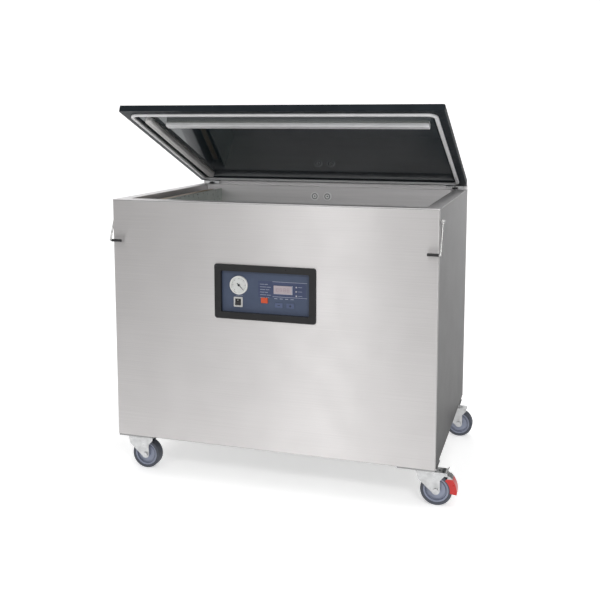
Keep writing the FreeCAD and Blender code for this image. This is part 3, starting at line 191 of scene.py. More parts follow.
def polished(name, tone, rough=0.14):
    """Plated or polished metal with light handling marks."""
    g = Graph(name)
    marks = g.noise(60.0, 6.0)
    fine = g.noise(400.0, 3.0)
    color = g.mix(g.between(marks, 0.0, 1.0, 0.35, 0.7), tone, tuple(c * 0.8 for c in tone))
    return g.finish(color=color, metal=1.0, rough=g.between(marks, rough, rough + 0.14, 0.3, 0.7),
                    normal=g.bump(fine, 0.06, 0.0002))


def coated(name, tone, rough=0.35, grain=900.0, strength=0.12, metal=0.0, vary=0.12, coat=0.0,
           specular=0.5):
    """Moulded plastic, paint or rubber with a fine texture and slow shading."""
    g = Graph(name)
    fine = g.noise(grain, 3.0)
    cloud = g.noise(14.0, 4.0)
    dust = g.noise(90.0, 5.0)
    darker = tuple(c * (1 - vary) for c in tone)
    lighter = tuple(min(c * (1 + vary) + 0.004, 1) for c in tone)
    color = g.mix(g.between(cloud, 0.0, 1.0, 0.3, 0.7), darker, lighter)
    return g.finish(color=color, rough=g.between(dust, rough * 0.85, min(rough * 1.2, 1), 0.3, 0.7),
                    metal=metal, normal=g.bump(fine, strength, 0.0003), coat=coat, specular=specular)


def tipped(name, tone, metal_tone, height):
    """A moulded piece below a height, and the plated steel that it is moulded on above it."""
    g = Graph(name)
    split = g.node("ShaderNodeSeparateXYZ")
    g.link(g.place(), split.inputs[0])
    above = g.between(split.outputs["Z"], 0.0, 1.0, height - 0.0004, height + 0.0004)
    cloud = g.noise(30.0, 4.0)
    fine = g.noise(900.0, 3.0)
    body = g.mix(g.between(cloud, 0.0, 1.0, 0.3, 0.7), tuple(c * 0.9 for c in tone), tone)
    color = g.mix(above, body, metal_tone)
    return g.finish(color=color, metal=above, rough=g.between(cloud, 0.26, 0.36, 0.3, 0.7),
                    normal=g.bump(fine, 0.08, 0.0003))


def smoked_pane(name):
    """Dark acrylic with a faint blue-green depth and hand marks in its gloss."""
    g = Graph(name)
    marks = g.noise(7.0, 5.0)
    fine = g.noise(160.0, 3.0)
    color = g.mix(g.between(marks, 0.0, 1.0, 0.3, 0.7), (0.015, 0.024, 0.029), (0.019, 0.030, 0.037))
    return g.finish(color=color, rough=g.between(marks, 0.05, 0.10, 0.3, 0.75), ior=1.49, coat=0.1,
                    specular=0.36, edge=(0.72, 0.94, 1.0), coat_rough=0.06, normal=g.bump(fine, 0.01, 0.0002))


def clear_glass(name):
    """Thin clear glass with a little dust."""
    g = Graph(name)
    dust = g.noise(220.0, 4.0)
    return g.finish(color=(0.95, 0.97, 0.98), rough=g.between(dust, 0.01, 0.05, 0.4, 0.8), transmission=1.0,
                    ior=1.1, alpha=0.35)


def woven(name, tone):
    """Non-stick glass cloth: a fine plain weave."""
    g = Graph(name)
    wave_x = g.node("ShaderNodeTexWave", bands_direction="X")
    wave_y = g.node("ShaderNodeTexWave", bands_direction="Y")
    for wave in (wave_x, wave_y):
        g.link(g.place(), wave.inputs["Vector"])
        wave.inputs["Scale"].default_value = 260.0
        wave.inputs["Distortion"].default_value = 0.4
    weave = g.node("ShaderNodeMath", operation="MULTIPLY")
    g.link(wave_x.outputs["Fac"], weave.inputs[0])
    g.link(wave_y.outputs["Fac"], weave.inputs[1])
    scorch = g.noise(24.0, 5.0)
    color = g.mix(g.between(scorch, 0.0, 0.6, 0.4, 0.75), tone, tuple(c * 0.55 for c in tone))
    return g.finish(color=color, rough=0.42, normal=g.bump(weave.outputs[0], 0.25, 0.0003))


# ---------------------------------------------------------------- materials

# The grain of a sheet brushed along its length: long and level, fine in height.
GRAIN_LEVEL = (3.0, 3.0, 1400.0)
M = {
    "front": brushed("front steel", (0.79, 0.77, 0.765), GRAIN_LEVEL, 0.41, 0.45, 1.0),
    # The side sheets are the front's steel in a darker tone as painted shade, with more painted shade towards
    # the floor.
    "side": brushed("side steel in painted shade", (0.60, 0.595, 0.60), GRAIN_LEVEL, 0.36, 0.42, 0.9, 0.22, 0.5),
    "rear": brushed("rear steel", (0.58, 0.57, 0.565), GRAIN_LEVEL, 0.28, 0.4, 0.7),
    "deck": brushed("chamber steel", (0.80, 0.785, 0.79), (3.0, 1400.0, 60.0), 0.42, 0.55, 0.0),
    "chrome": polished("bright plate", (0.80, 0.80, 0.80)),
    "zinc": polished("zinc plate", (0.60, 0.605, 0.61), 0.26),
    "lever": polished("lever steel", (0.74, 0.74, 0.73), 0.18),
    "aluminium": brushed("anodised aluminium", (0.66, 0.66, 0.64), (4.0, 4.0, 500.0), 0.3, 0.45, 0.2),
    "tape": woven("non-stick tape", (0.36, 0.27, 0.17)),
    "shield": coated("shield coating", (0.36, 0.40, 0.37), 0.3, 700.0, 0.05, 0.4),
    "lid_frame": coated("lid edge", (0.006, 0.011, 0.016), 0.42, 1200.0, 0.03, 0.0, 0.15, 0.0, 0.2),
    "pane": smoked_pane("smoked acrylic"),
    "gasket": coated("white gasket", (0.88, 0.88, 0.89), 0.5, 1500.0, 0.06, 0.0, 0.05),
    "silicone": coated("silicone", (0.84, 0.84, 0.85), 0.46, 1500.0, 0.05, 0.0, 0.06),
    # The left bar's copy of the front bar's silicone, darker and warmer as painted shade and a painted
    # reflection of the chamber.
    "painted_shade_silicone": coated("silicone in painted shade", (0.74, 0.73, 0.72), 0.48, 1500.0, 0.05, 0.0, 0.08),
    "black_paint": coated("black paint", (0.014, 0.014, 0.015), 0.22, 900.0, 0.04, 0.0, 0.1, 0.4),
    "grip": coated("black grip", (0.016, 0.016, 0.017), 0.55, 1400.0, 0.25),
    "bezel": coated("bezel plastic", (0.012, 0.012, 0.013), 0.32, 1600.0, 0.12),
    "fascia": coated("fascia film", (0.062, 0.084, 0.142), 0.36, 1800.0, 0.06, 0.0, 0.08),
    "field": coated("blue print field", (0.050, 0.066, 0.135), 0.36, 1800.0, 0.05, 0.0, 0.08),
    "print": coated("pale print", (0.36, 0.39, 0.48), 0.5, 1800.0, 0.03, 0.0, 0.05),
    "key": coated("blue key film", (0.085, 0.110, 0.20), 0.36, 1800.0, 0.05, 0.0, 0.06),
    "white": coated("white enamel", (0.82, 0.82, 0.80), 0.3, 1200.0, 0.03, 0.0, 0.03, 0.3),
    "ink": coated("black ink", (0.015, 0.015, 0.016), 0.5, 1800.0, 0.02),
    "display": coated("display filter", (0.46, 0.40, 0.43), 0.18, 1600.0, 0.02, 0.0, 0.06, 0.6),
    "digit": coated("display segments", (0.36, 0.29, 0.32), 0.25, 1600.0, 0.02),
    "lamp": coated("lamp lens", (0.56, 0.56, 0.62), 0.18, 800.0, 0.02, 0.0, 0.1, 0.6),
    "stop": coated("red key", (0.62, 0.085, 0.03), 0.34, 1400.0, 0.06, 0.0, 0.06),
    "pale_plastic": coated("pale plastic", (0.58, 0.58, 0.57), 0.36, 1400.0, 0.06, 0.0, 0.05),
    "black_plastic": coated("black plastic", (0.014, 0.014, 0.015), 0.34, 1400.0, 0.08),
    "board": coated("circuit board", (0.02, 0.12, 0.05), 0.4, 300.0, 0.3),
    "frame": coated("frame paint", (0.30, 0.30, 0.30), 0.4, 700.0, 0.15, 0.3),
    "tray": polished("tray plate", (0.55, 0.55, 0.54), 0.34),
    "iron": coated("blue cast iron", (0.05, 0.11, 0.17), 0.45, 260.0, 0.4),
    "filter": coated("filter paint", (0.42, 0.42, 0.41), 0.4, 500.0, 0.15),
    "hose": coated("hose rubber", (0.10, 0.10, 0.11), 0.55, 300.0, 0.3),
    "brass": polished("brass", (0.62, 0.47, 0.2), 0.22),
    "laminate": coated("core laminations", (0.09, 0.09, 0.09), 0.5, 900.0, 0.4, 0.5),
    "tyre": coated("grey tread", (0.062, 0.069, 0.088), 0.62, 700.0, 0.22, 0.0, 0.14),
    "core": coated("grey wheel core", (0.26, 0.285, 0.37), 0.42, 900.0, 0.12, 0.0, 0.08),
    "pedal": tipped("red pedal", (0.56, 0.02, 0.018), (0.50, 0.50, 0.50), PEDAL_MOULDING_Z),
    "seal": coated("grey seal", (0.20, 0.20, 0.21), 0.5, 900.0, 0.08),
    "port": coated("port enamel", (0.93, 0.93, 0.93), 0.35, 900.0, 0.04, 0.0, 0.03, 0.2),
}

FINISH = {
    "front_panel": "front", "left_panel": "side", "right_panel": "side", "rear_panel": "rear",
    "base_frame": "frame", "bottom_tray": "tray", "vacuum_chamber": "deck", "chamber_ports": "port",
    "fasteners": "zinc", "cable_gland": "black_plastic",
    "lift_cylinders": "aluminium", "seal_bars": "aluminium",
    "seal_tapes": "tape", "seal_bar_shields": "shield", "lid_frame": "lid_frame", "lid_glass": "pane",
    "lid_gasket": "gasket", "pressure_bars": "silicone", "hinge_leaves": "zinc", "hinge_brackets": "zinc",
    "hinge_pins": "chrome", "gas_spring_tubes": "black_paint", "gas_spring_rods": "chrome",
    "left_lever": "lever", "right_lever": "lever", "lever_pivots": "zinc", "left_lever_grip": "grip",
    "right_lever_grip": "grip", "control_bezel": "bezel", "control_fascia": "fascia", "gauge_case": "white",
    "gauge_needle": "ink", "display_window": "display", "indicator_leds": "lamp",
    "rocker_frame": "pale_plastic",
    "power_rocker": "black_plastic", "stop_key": "stop", "control_board": "board", "vacuum_pump": "iron",
    "pump_motor": "iron", "exhaust_filter": "filter", "vacuum_hose": "hose", "solenoid_valves": "brass",
    "seal_transformer": "laminate", "castor_plates": "zinc", "brake_pedal_front_right": "pedal",
    "brake_pedal_rear_left": "pedal",
}
for corner in ("front_left", "front_right", "rear_left", "rear_right"):
    FINISH["castor_fork_" + corner] = "zinc"
    FINISH["castor_hub_" + corner] = "core"
    FINISH["castor_tyre_" + corner] = "tyre"


def dress(obj, material):
    """Give an object one material, whatever it had before."""
    obj.data.materials.clear()
    obj.data.materials.append(material)


for node, key in FINISH.items():
    dress(NODES[node], M[key])
dress(NODES["gauge_glass"], clear_glass("gauge glass"))


def soften(obj, width, angle=35.0):
    """Round the sharp edges a little, so that they catch the light."""
    bevel = obj.modifiers.new("edge", "BEVEL")
    bevel.width = width
    bevel.segments = 2
    bevel.limit_method = "ANGLE"
    bevel.angle_limit = math.radians(angle)
    bevel.harden_normals = True


# ---------------------------------------------------------------- mesh helpers

def new_object(name, mesh, material, body, smooth=False):
    """Put a mesh in the scene, with its material, riding on a body."""
    made = bpy.data.objects.new(name, mesh)
    bpy.context.scene.collection.objects.link(made)
    mesh.materials.append(material)
    if smooth:
        for face in mesh.polygons:
            face.use_smooth = True
    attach(made, body)
    return made


def mesh_of(name, points, faces):
    """A mesh from points and faces, with its normals turned outward."""
    mesh = bpy.data.meshes.new(name)
    mesh.from_pydata([tuple(point) for point in points], [], faces)
    builder = bmesh.new()
    builder.from_mesh(mesh)
    bmesh.ops.recalc_face_normals(builder, faces=builder.faces)
    builder.to_mesh(mesh)
    builder.free()
    return mesh


def loops(rings, close_path, cap):
    """Faces that join a list of point rings, each of the same length."""
    count = len(rings[0])
    points = [point for line in rings for point in line]
    faces = []
    last = len(rings) if close_path else len(rings) - 1
    for i in range(last):
        a = i * count
        b = ((i + 1) % len(rings)) * count
        for j in range(count):
            k = (j + 1) % count
            faces.append((a + j, a + k, b + k, b + j))
    if cap:
        faces.append(tuple(range(count)))
        faces.append(tuple(range((len(rings) - 1) * count, len(rings) * count)))
    return points, faces


def join_flat(name, boxes, material, body):
    """Many small blocks in one mesh. Each is (low corner, high corner)."""
    points = []
    faces = []
    for low, high in boxes:
        base = len(points)
        for x in (low[0], high[0]):
            for y in (low[1], high[1]):
                for z in (low[2], high[2]):
                    points.append((x, y, z))
        faces += [tuple(base + i for i in quad) for quad in
                  ((0, 1, 3, 2), (4, 6, 7, 5), (0, 4, 5, 1), (2, 3, 7, 6), (0, 2, 6, 4), (1, 5, 7, 3))]
    return new_object(name, mesh_of(name, points, faces), material, body, False)


# ---------------------------------------------------------------- lid space

HINGE = Vector(JOINTS["lid_hinge"]["pos_m"])
OPEN = math.radians(-JOINTS["lid_hinge"]["range_deg"][0])
LIFT = Matrix.Translation(HINGE) @ Matrix.Rotation(-OPEN, 4, "X") @ Matrix.Translation(-HINGE)
LOWER = LIFT.inverted()


def closed_box(node):
    """The corners of a lid node as if the lid were shut."""
    points = [LOWER @ vertex.co for vertex in NODES[node].data.vertices]
    low = Vector([min(point[i] for point in points) for i in range(3)])
    high = Vector([max(point[i] for point in points) for i in range(3)])
    return low, high


def raised(points):
    """Points of the shut lid, moved to where the open lid holds them."""
    return [LIFT @ Vector(point) for point in points]


def gasket():
    """The lid's seal, with a rounded face, a groove down its middle and a foot on the frame."""
    low, high = closed_box("lid_gasket")
    radius = 0.030
    path = []
    for cx, cy, start in ((high.x - radius, high.y - radius, 0), (low.x + radius, high.y - radius, 90),
                          (low.x + radius, low.y + radius, 180), (high.x - radius, low.y + radius, 270)):
        for step in range(9):
            angle = math.radians(start + step * 90 / 8)
            path.append((cx, cy, angle))
    width = 0.012
    height = high.z - low.z
    shape = [(0.0, 0.0), (0.0, -height * 0.45)]
    for step in range(5):
        turn = math.radians(180 + step * 35 / 4)
        shape.append((0.004 + 0.004 * math.cos(turn), -height * 0.52 + 0.0036 * math.sin(turn)))
    shape += [(0.0048, -height * 0.98), (0.0056, -height * 0.80),
              (0.0064, -height * 0.80), (0.0072, -height * 0.98)]
    for step in range(5):
        turn = math.radians(325 + step * 35 / 4)
        shape.append((0.008 + 0.004 * math.cos(turn), -height * 0.52 + 0.0036 * math.sin(turn)))
    shape += [(width, -height * 0.45), (width, 0.0)]
    rings = []
    for cx, cy, angle in path:
        line = [(cx + (radius - inward) * math.cos(angle), cy + (radius - inward) * math.sin(angle),
                 high.z + drop) for inward, drop in shape]
        rings.append(raised(line))
    points, faces = loops(rings, True, False)
    made = new_object("gasket_seal", mesh_of("gasket_seal", points, faces), M["gasket"], "lid", True)
    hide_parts("lid_gasket")


def pressure_bar(name, low, high, along_x, material):
    """A silicone bar: soft corners, two fine ribs on its face and rounded ends."""
    length_low = low.x if along_x else low.y
    length_high = high.x if along_x else high.y
    middle = (low.y + high.y) / 2 if along_x else (low.x + high.x) / 2
    half = ((high.y - low.y) if along_x else (high.x - low.x)) / 2
    drop = high.z - low.z
    shape = [(-half, 0.0), (-half, -drop + 0.003), (-half + 0.001, -drop + 0.001), (-half + 0.003, -drop),
             (-0.004, -drop), (-0.0034, -drop + 0.0008), (-0.0026, -drop + 0.0008), (-0.002, -drop),
             (0.002, -drop), (0.0026, -drop + 0.0008), (0.0034, -drop + 0.0008), (0.004, -drop),
             (half - 0.003, -drop), (half - 0.001, -drop + 0.001), (half, -drop + 0.003), (half, 0.0)]
    steps = 7
    reach = 0.003 if along_x else half
    rings = []
    for end in (0, 1):
        for i in range(steps):
            share = i / (steps - 1)
            angle = math.radians(90 * (1 - share if end == 0 else share))
            spread = max(math.cos(angle), 0.12) if not along_x else 0.94 + 0.06 * math.cos(angle)
            back = reach * (1 - math.sin(angle))
            at = length_low + back if end == 0 else length_high - back
            line = []
            for across, down in shape:
                depth = down * (0.9 + 0.1 * math.cos(angle))
                if along_x:
                    line.append((at, middle + across * spread, high.z + depth))
                else:
                    line.append((middle + across * spread, at, high.z + depth))
            rings.append(raised(line))
    points, faces = loops(rings, False, True)
    return new_object(name, mesh_of(name, points, faces), material, "lid", False)


def pressure_bars():
    """The front and the left bar, read from the CAD solids' corners. The left bar's silicone is painted
    darker and warmer as shade and a reflection of the chamber.
    """
    points = [LOWER @ vertex.co for vertex in NODES["pressure_bars"].data.vertices]
    split = closed_box("pressure_bars")[0].x + 0.03
    left = [point for point in points if point.x < split]
    front = [point for point in points if point.x >= split]
    made = []
    for name, group, along_x, key in (("front_pressure_bar", front, True, "silicone"),
                                      ("left_pressure_bar", left, False, "painted_shade_silicone")):
        low = Vector([min(point[i] for point in group) for i in range(3)])
        high = Vector([max(point[i] for point in group) for i in range(3)])
        made.append((pressure_bar(name, low, high, along_x, M[key]), low, high))
    for item, low, high in made:
        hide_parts("pressure_bars")
    return made


def bar_holders(bars):
    """Aluminium channels that hold the silicone bars under the pane."""
    boxes = []
    for index, (item, low, high) in enumerate(bars):
        side = 0.0022
        deep = 0.0065
        if index == 0:
            spans = [((low.x + 0.002, low.y - side, high.z - deep), (high.x - 0.002, low.y, high.z)),
                     ((low.x + 0.002, high.y, high.z - deep), (high.x - 0.002, high.y + side, high.z))]
        else:
            spans = [((high.x, low.y + 0.012, high.z - deep), (high.x + side, high.y - 0.012, high.z)),
                     ((low.x - side, low.y + 0.012, high.z - deep), (low.x, high.y - 0.012, high.z))]
        boxes += spans
    points = []
    faces = []
    for low, high in boxes:
        base = len(points)
        corners = [(x, y, z) for x in (low[0], high[0]) for y in (low[1], high[1]) for z in (low[2], high[2])]
        points += raised(corners)
        faces += [tuple(base + i for i in quad) for quad in
                  ((0, 1, 3, 2), (4, 6, 7, 5), (0, 4, 5, 1), (2, 3, 7, 6), (0, 2, 6, 4), (1, 5, 7, 3))]
    new_object("pressure_bar_holders", mesh_of("pressure_bar_holders", points, faces), M["aluminium"], "lid",
               False)


# ---------------------------------------------------------------- control panel graphics

def disc(name, centre, radius, thick, material, body, sides=48, inner=0.0):
    """A flat disc or ring facing the operator."""
    rings = []
    back = centre[1] + thick
    for y, r in ((back, inner), (back, radius), (centre[1], radius), (centre[1], inner)):
        rings.append([(centre[0] + r * math.cos(2 * math.pi * i / sides), y,
                       centre[2] + r * math.sin(2 * math.pi * i / sides)) for i in range(sides)])
    if inner == 0.0:
        rings = rings[1:3]
        points, faces = loops(rings, False, True)
    else:
        points, faces = loops(rings, True, False)
    return new_object(name, mesh_of(name, points, faces), material, body, False)


def gauge_dial():
    """A white dial with tick marks, behind the gauge's glass."""
    low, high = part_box("gauge_case")
    x = (low[0] + high[0]) / 2
    z = (low[2] + high[2]) / 2
    face_y = low[1] + 0.0062
    radius = (high[0] - low[0]) / 2 - 0.0045
    disc("gauge_dial", (x, face_y, z), radius, 0.0002, M["white"], "cabinet", 64, 0.0018)
    points = []
    faces = []
    for i in range(31):
        angle = math.radians(225 - i * 9)
        major = i % 5 == 0
        inner = radius * (0.74 if major else 0.82)
        outer = radius * 0.92
        half = 0.00045 if major else 0.00022
        base = len(points)
        across = (-math.sin(angle) * half, math.cos(angle) * half)
        for r, s in ((inner, -1), (outer, -1), (outer, 1), (inner, 1)):
            points.append((x + r * math.cos(angle) + across[0] * s, face_y - 0.00015,
                           z + r * math.sin(angle) + across[1] * s))
        faces.append((base, base + 1, base + 2, base + 3))
    mesh = bpy.data.meshes.new("gauge_marks")
    mesh.from_pydata(points, [], faces)
    new_object("gauge_marks", mesh, M["ink"], "cabinet", False)


def panel_print():
    """Rules, label dashes, key symbols and display segments, with no lettering."""
    fascia_low, fascia_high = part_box("control_fascia")
    window_low, window_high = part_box("display_window")
    plate = window_high[1]
    front = plate - 0.00025
    key_front = fascia_low[1] - 0.0002
    boxes = []
    for z in (window_high[2] + 0.012, window_low[2] - 0.010):
        boxes.append(((window_low[0] - 0.004, front, z - 0.0006),
                      (window_high[0] + 0.050, plate, z + 0.0006)))
    for row in range(6):
        z = window_high[2] + 0.002 - row * 0.0085
        length = 0.026 + 0.005 * ((row * 5) % 3)
        start = window_low[0] - 0.046
        boxes.append(((start, front, z - 0.0007), (start + length * 0.55, plate, z + 0.0007)))
        boxes.append(((start + length * 0.62, front, z - 0.0007), (start + length, plate, z + 0.0007)))
    for row in range(3):
        z = window_high[2] - 0.002 - row * 0.014
        start = window_high[0] + 0.021
        boxes.append(((start, front, z - 0.0006), (start + 0.013, plate, z + 0.0006)))
    for column in range(4):
        start = window_low[0] + 0.002 + column * 0.018
        z = window_low[2] - 0.016
        boxes.append(((start, front, z - 0.0009), (start + 0.010, plate, z + 0.0009)))
    gauge_low, gauge_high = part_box("gauge_case")
    middle = (gauge_low[0] + gauge_high[0]) / 2
    boxes.append(((middle - 0.012, front, gauge_low[2] - 0.0052),
                  (middle + 0.012, plate, gauge_low[2] - 0.0040)))
    join_flat("fascia_print", boxes, M["print"], "cabinet")
    field = ((window_low[0] - 0.052, plate - 0.00008, window_low[2] - 0.014),
             (window_high[0] + 0.046, plate, window_high[2] + 0.013))
    join_flat("print_field", [field], M["field"], "cabinet")
    keys = []
    darks = []
    centre = (fascia_low[0] + fascia_high[0]) / 2
    height = (fascia_low[2] + fascia_high[2]) / 2
    for index in (0, 1):
        x = centre + 0.045 + index * 0.038
        z = height - 0.037
        keys.append(((x - 0.0125, key_front, z - 0.0075), (x + 0.0125, fascia_low[1] + 0.0001, z + 0.0075)))
        arm = 0.004
        darks.append(((x - arm, key_front - 0.0003, z - 0.0008), (x + arm, key_front, z + 0.0008)))
        if index == 1:
            darks.append(((x - 0.0008, key_front - 0.0003, z - arm), (x + 0.0008, key_front, z + arm)))
    join_flat("key_films", keys, M["key"], "cabinet")
    join_flat("key_symbols", darks, M["ink"], "cabinet")
    digits = []
    z0 = (window_low[2] + window_high[2]) / 2
    glass = window_low[1] - 0.0002
    for index in range(4):
        x = window_low[0] + 0.012 + index * 0.012
        tall = 0.0055
        wide = 0.0032
        bar = 0.0008
        for z in (z0 - tall, z0, z0 + tall):
            digits.append(((x - wide, glass, z - bar), (x + wide, window_low[1], z + bar)))
        for side in (-1, 1):
            digits.append(((x + side * wide - bar, glass, z0 - tall),
                           (x + side * wide + bar, window_low[1], z0 + tall)))
    join_flat("display_segments", digits, M["digit"], "cabinet")
    edge = 0.0012
    rim = []
    right = window_high[0] + 2 * edge
    for x0, x1, z0, z1 in ((window_high[0], right, window_low[2] - edge, window_high[2] + edge),
                           (window_low[0], window_high[0], window_low[2] - edge, window_low[2])):
        rim.append(((x0, window_low[1] + 0.0004, z0), (x1, plate, z1)))
    join_flat("display_edge", rim, M["print"], "cabinet")


def rocker_marks():
    """A moulded bar on the rocker's upper half."""
    low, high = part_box("power_rocker")
    x = (low[0] + high[0]) / 2
    z = (low[2] + high[2]) / 2
    bar = ((x - 0.0005, low[1] + 0.0004, z + 0.0035), (x + 0.0005, low[1] + 0.0022, z + 0.0068))
    join_flat("rocker_bar", [bar], M["white"], "rocker")


def screw_heads():
    """Countersunk screws along the top of the left shield, with their drive recesses."""
    low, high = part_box("seal_bar_shields")
    points = []
    faces = []
    shield_right = max(vertex.co.x for vertex in NODES["seal_bar_shields"].data.vertices
                       if vertex.co.x < low[0] + 0.05)
    top = high[2] - 0.007
    sides = 20
    length = high[1] - low[1]
    for share in (0.08, 0.30, 0.38, 0.62, 0.90):
        y = low[1] + length * share
        base = len(points)
        for depth, radius in ((0.0, 0.0036), (0.0009, 0.0034), (0.0014, 0.0022), (0.0008, 0.0012)):
            for i in range(sides):
                angle = 2 * math.pi * i / sides
                points.append((shield_right + depth, y + radius * math.cos(angle),
                               top + radius * math.sin(angle)))
        for level in range(3):
            a = base + level * sides
            b = a + sides
            for i in range(sides):
                k = (i + 1) % sides
                faces.append((a + i, a + k, b + k, b + i))
        faces.append(tuple(base + 3 * sides + i for i in range(sides)))
    new_object("shield_screws", mesh_of("shield_screws", points, faces), M["chrome"], "cabinet", True)


def port_details():
    """A grey seal, a pale strainer disc and a centre screw in each chamber port."""
    low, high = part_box("chamber_ports")
    z = (low[2] + high[2]) / 2
    radius = (high[2] - low[2]) / 2
    for index, x in enumerate((low[0] + radius, high[0] - radius)):
        disc("port_seal_%d" % index, (x, low[1] - 0.0003, z), radius * 0.70, 0.0006, M["seal"], "cabinet",
             40, radius * 0.50)
        disc("port_screen_%d" % index, (x, low[1] + 0.0015, z), radius * 0.425, 0.0006, M["port"], "cabinet",
             40)
        disc("port_screw_%d" % index, (x, low[1] + 0.0010, z), radius * 0.16, 0.0016, M["ink"], "cabinet",
             24)


def cabinet_seams():
    """The sealant line under the deck's front edge."""
    low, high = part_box("vacuum_chamber")
    top = HINGE.z - DECK_BELOW_HINGE
    line = ((low[0] + 0.004, low[1] - 0.0001, top - 0.0034), (high[0] - 0.004, low[1] + 0.0004, top - 0.0028))
    join_flat("deck_seam", [line], M["ink"], "cabinet")


gasket()
bars = pressure_bars()
bar_holders(bars)
gauge_dial()
panel_print()
rocker_marks()
screw_heads()
port_details()
cabinet_seams()
for node in ("control_bezel", "seal_bars", "hinge_brackets", "rocker_frame", "stop_key", "power_rocker"):
    soften(NODES[node], 0.0006)

# ---------------------------------------------------------------- stage, light and camera


def area(name, place, target, size, power, color=(1.0, 1.0, 1.0)):
    """A soft rectangular light aimed at a point."""
    lamp = bpy.data.lights.new(name, "AREA")
    lamp.shape = "RECTANGLE"
    lamp.size = size[0]
    lamp.size_y = size[1]
    lamp.energy = power
    lamp.color = color
    made = bpy.data.objects.new(name, lamp)
    made.location = place
    made.rotation_euler = (Vector(target) - Vector(place)).to_track_quat("-Z", "Y").to_euler()
    bpy.context.scene.collection.objects.link(made)
    return made


floor_low = cad_bounds[0][2]
floor_graph = Graph("studio_floor")
floor_tone = floor_graph.noise(0.6, 2.0)
floor_place = floor_graph.node("ShaderNodeSeparateXYZ")
floor_graph.link(floor_graph.place(), floor_place.inputs[0])
fade_right = floor_graph.between(floor_place.outputs["X"], 0.0, 1.0, 1.2, 1.6)
fade_near = floor_graph.between(floor_place.outputs["Y"], 1.0, 0.0, -1.9, -0.95)
fade = floor_graph.node("ShaderNodeMath", operation="MAXIMUM")
floor_graph.link(fade_right, fade.inputs[0])
floor_graph.link(fade_near, fade.inputs[1])
# Past these edges the floor is dark where the steel reflects it, and pale where it is looked at.
seen = floor_graph.node("ShaderNodeLightPath")
far = floor_graph.node("ShaderNodeMath", operation="MULTIPLY")
floor_graph.link(fade.outputs[0], far.inputs[0])
floor_graph.link(floor_graph.between(seen.outputs["Is Camera Ray"], 1.0, 0.0), far.inputs[1])
pale = floor_graph.mix(floor_graph.between(floor_tone, 0.0, 1.0, 0.3, 0.7), (0.93, 0.93, 0.93),
                       (0.95, 0.95, 0.95))
floor_graph.finish(color=floor_graph.mix(far.outputs[0], pale, (0.30, 0.30, 0.30)), rough=0.9, specular=0.1,
                   emit=floor_graph.mix(far.outputs[0], (0.42, 0.42, 0.42), (0.0, 0.0, 0.0)), power=1.0)
sweep = []
for i in range(13):
    angle = math.radians(i * 7.5)
    sweep.append((2.6 + 1.6 * math.sin(angle), floor_low + 1.6 * (1 - math.cos(angle))))
line = [(-7.0, floor_low)] + sweep + [(4.2, 7.0)]
rings = [[(-9.0, y, z) for y, z in line], [(9.0, y, z) for y, z in line]]
points = rings[0] + rings[1]
count = len(line)
faces = [(i, i + 1, count + i + 1, count + i) for i in range(count - 1)]
floor_mesh = bpy.data.meshes.new("studio_floor")
floor_mesh.from_pydata(points, [], faces)
for face in floor_mesh.polygons:
    face.use_smooth = True
floor_mesh.materials.append(floor_graph.material)
floor = bpy.data.objects.new("studio_floor", floor_mesh)
bpy.context.scene.collection.objects.link(floor)

world = bpy.data.worlds.new("studio")
bpy.context.scene.world = world
world.use_nodes = True
tree = world.node_tree
background = tree.nodes["Background"]
coords = tree.nodes.new("ShaderNodeTexCoord")
split = tree.nodes.new("ShaderNodeSeparateXYZ")
ramp = tree.nodes.new("ShaderNodeValToRGB")
tree.links.new(coords.outputs["Generated"], split.inputs[0])
around = tree.nodes.new("ShaderNodeMath")
around.operation = "ARCTAN2"
for slot, axis in enumerate(("X", "Y")):
    turned = tree.nodes.new("ShaderNodeMath")
    turned.operation = "MULTIPLY"
    turned.inputs[1].default_value = -1.0
    tree.links.new(split.outputs[axis], turned.inputs[0])
    tree.links.new(turned.outputs[0], around.inputs[slot])
spread = tree.nodes.new("ShaderNodeMapRange")
spread.inputs["From Min"].default_value = -math.pi
spread.inputs["From Max"].default_value = math.pi
tree.links.new(around.outputs[0], spread.inputs["Value"])
tree.links.new(spread.outputs["Result"], ramp.inputs["Fac"])


def turn_stop(degrees, level):
    """One stop of the surround's brightness: degrees from the operator's side towards the left."""
    stop = ramp.color_ramp.elements.new((degrees + 180) / 360)
    stop.color = (level, level, level, 1)


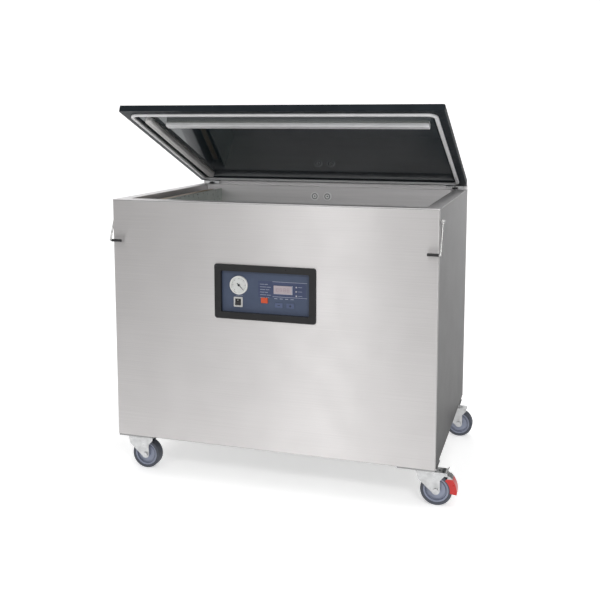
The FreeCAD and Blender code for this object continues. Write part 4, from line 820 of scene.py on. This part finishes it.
ramp.color_ramp.elements[0].color = (0.85, 0.85, 0.85, 1)
ramp.color_ramp.elements[1].color = (0.85, 0.85, 0.85, 1)
for degrees, level in ((-120, 0.50), (-70, 0.26), (-25, 0.22), (0, 0.32), (6, 0.50), (12, 0.84), (18, 1.0),
                       (23, 0.74), (29, 0.34), (60, 0.22), (110, 0.5), (150, 0.8)):
    turn_stop(degrees, level)
lift = tree.nodes.new("ShaderNodeMapRange")
lift.inputs["From Min"].default_value = 0.55
lift.inputs["From Max"].default_value = 0.95
tree.links.new(split.outputs["Z"], lift.inputs["Value"])
overhead = tree.nodes.new("ShaderNodeMix")
overhead.data_type = "RGBA"
overhead.inputs["B"].default_value = (0.62, 0.62, 0.62, 1)
tree.links.new(lift.outputs["Result"], overhead.inputs["Factor"])
tree.links.new(ramp.outputs["Color"], overhead.inputs["A"])
tree.links.new(overhead.outputs["Result"], background.inputs["Color"])
background.inputs["Strength"].default_value = 1.42

# What is seen past the floor is plain white paper. The surround above only lights the object.
paper = tree.nodes.new("ShaderNodeBackground")
paper.inputs["Color"].default_value = (0.97, 0.97, 0.97, 1)
path = tree.nodes.new("ShaderNodeLightPath")
choose = tree.nodes.new("ShaderNodeMixShader")
tree.links.new(path.outputs["Is Camera Ray"], choose.inputs["Fac"])
tree.links.new(background.outputs["Background"], choose.inputs[1])
tree.links.new(paper.outputs["Background"], choose.inputs[2])
tree.links.new(choose.outputs["Shader"], tree.nodes["World Output"].inputs["Surface"])

area("key", (-0.75, -3.9, 1.3), (0.1, -0.4, 0.6), (0.5, 2.6), 5.0)
area("top", (0.2, 0.2, 3.2), (0.0, 0.0, 0.9), (2.6, 2.0), 12.0)
area("chamber", (1.75, -2.7, 2.2), (-0.1, 0.3, 0.88), (1.2, 0.4), 30.0)
area("back", (0.0, 3.2, 2.6), (0.0, 0.3, 1.0), (3.0, 1.2), 7.0)

camera_data = bpy.data.cameras.new("camera")
camera = bpy.data.objects.new("camera", camera_data)
bpy.context.scene.collection.objects.link(camera)
bpy.context.scene.camera = camera
yaw = math.radians(CAMERA_YAW)
pitch = math.radians(CAMERA_PITCH)
forward = Vector((-math.sin(yaw) * math.cos(pitch), math.cos(yaw) * math.cos(pitch), -math.sin(pitch)))
camera.location = CAMERA_PLACE
camera.rotation_mode = "QUATERNION"
camera.rotation_quaternion = forward.to_track_quat("-Z", "Y")
camera_data.sensor_width = 36.0
camera_data.lens = CAMERA_LENS
camera_data.shift_y = CAMERA_SHIFT
bpy.context.scene.view_settings.view_transform = "Standard"
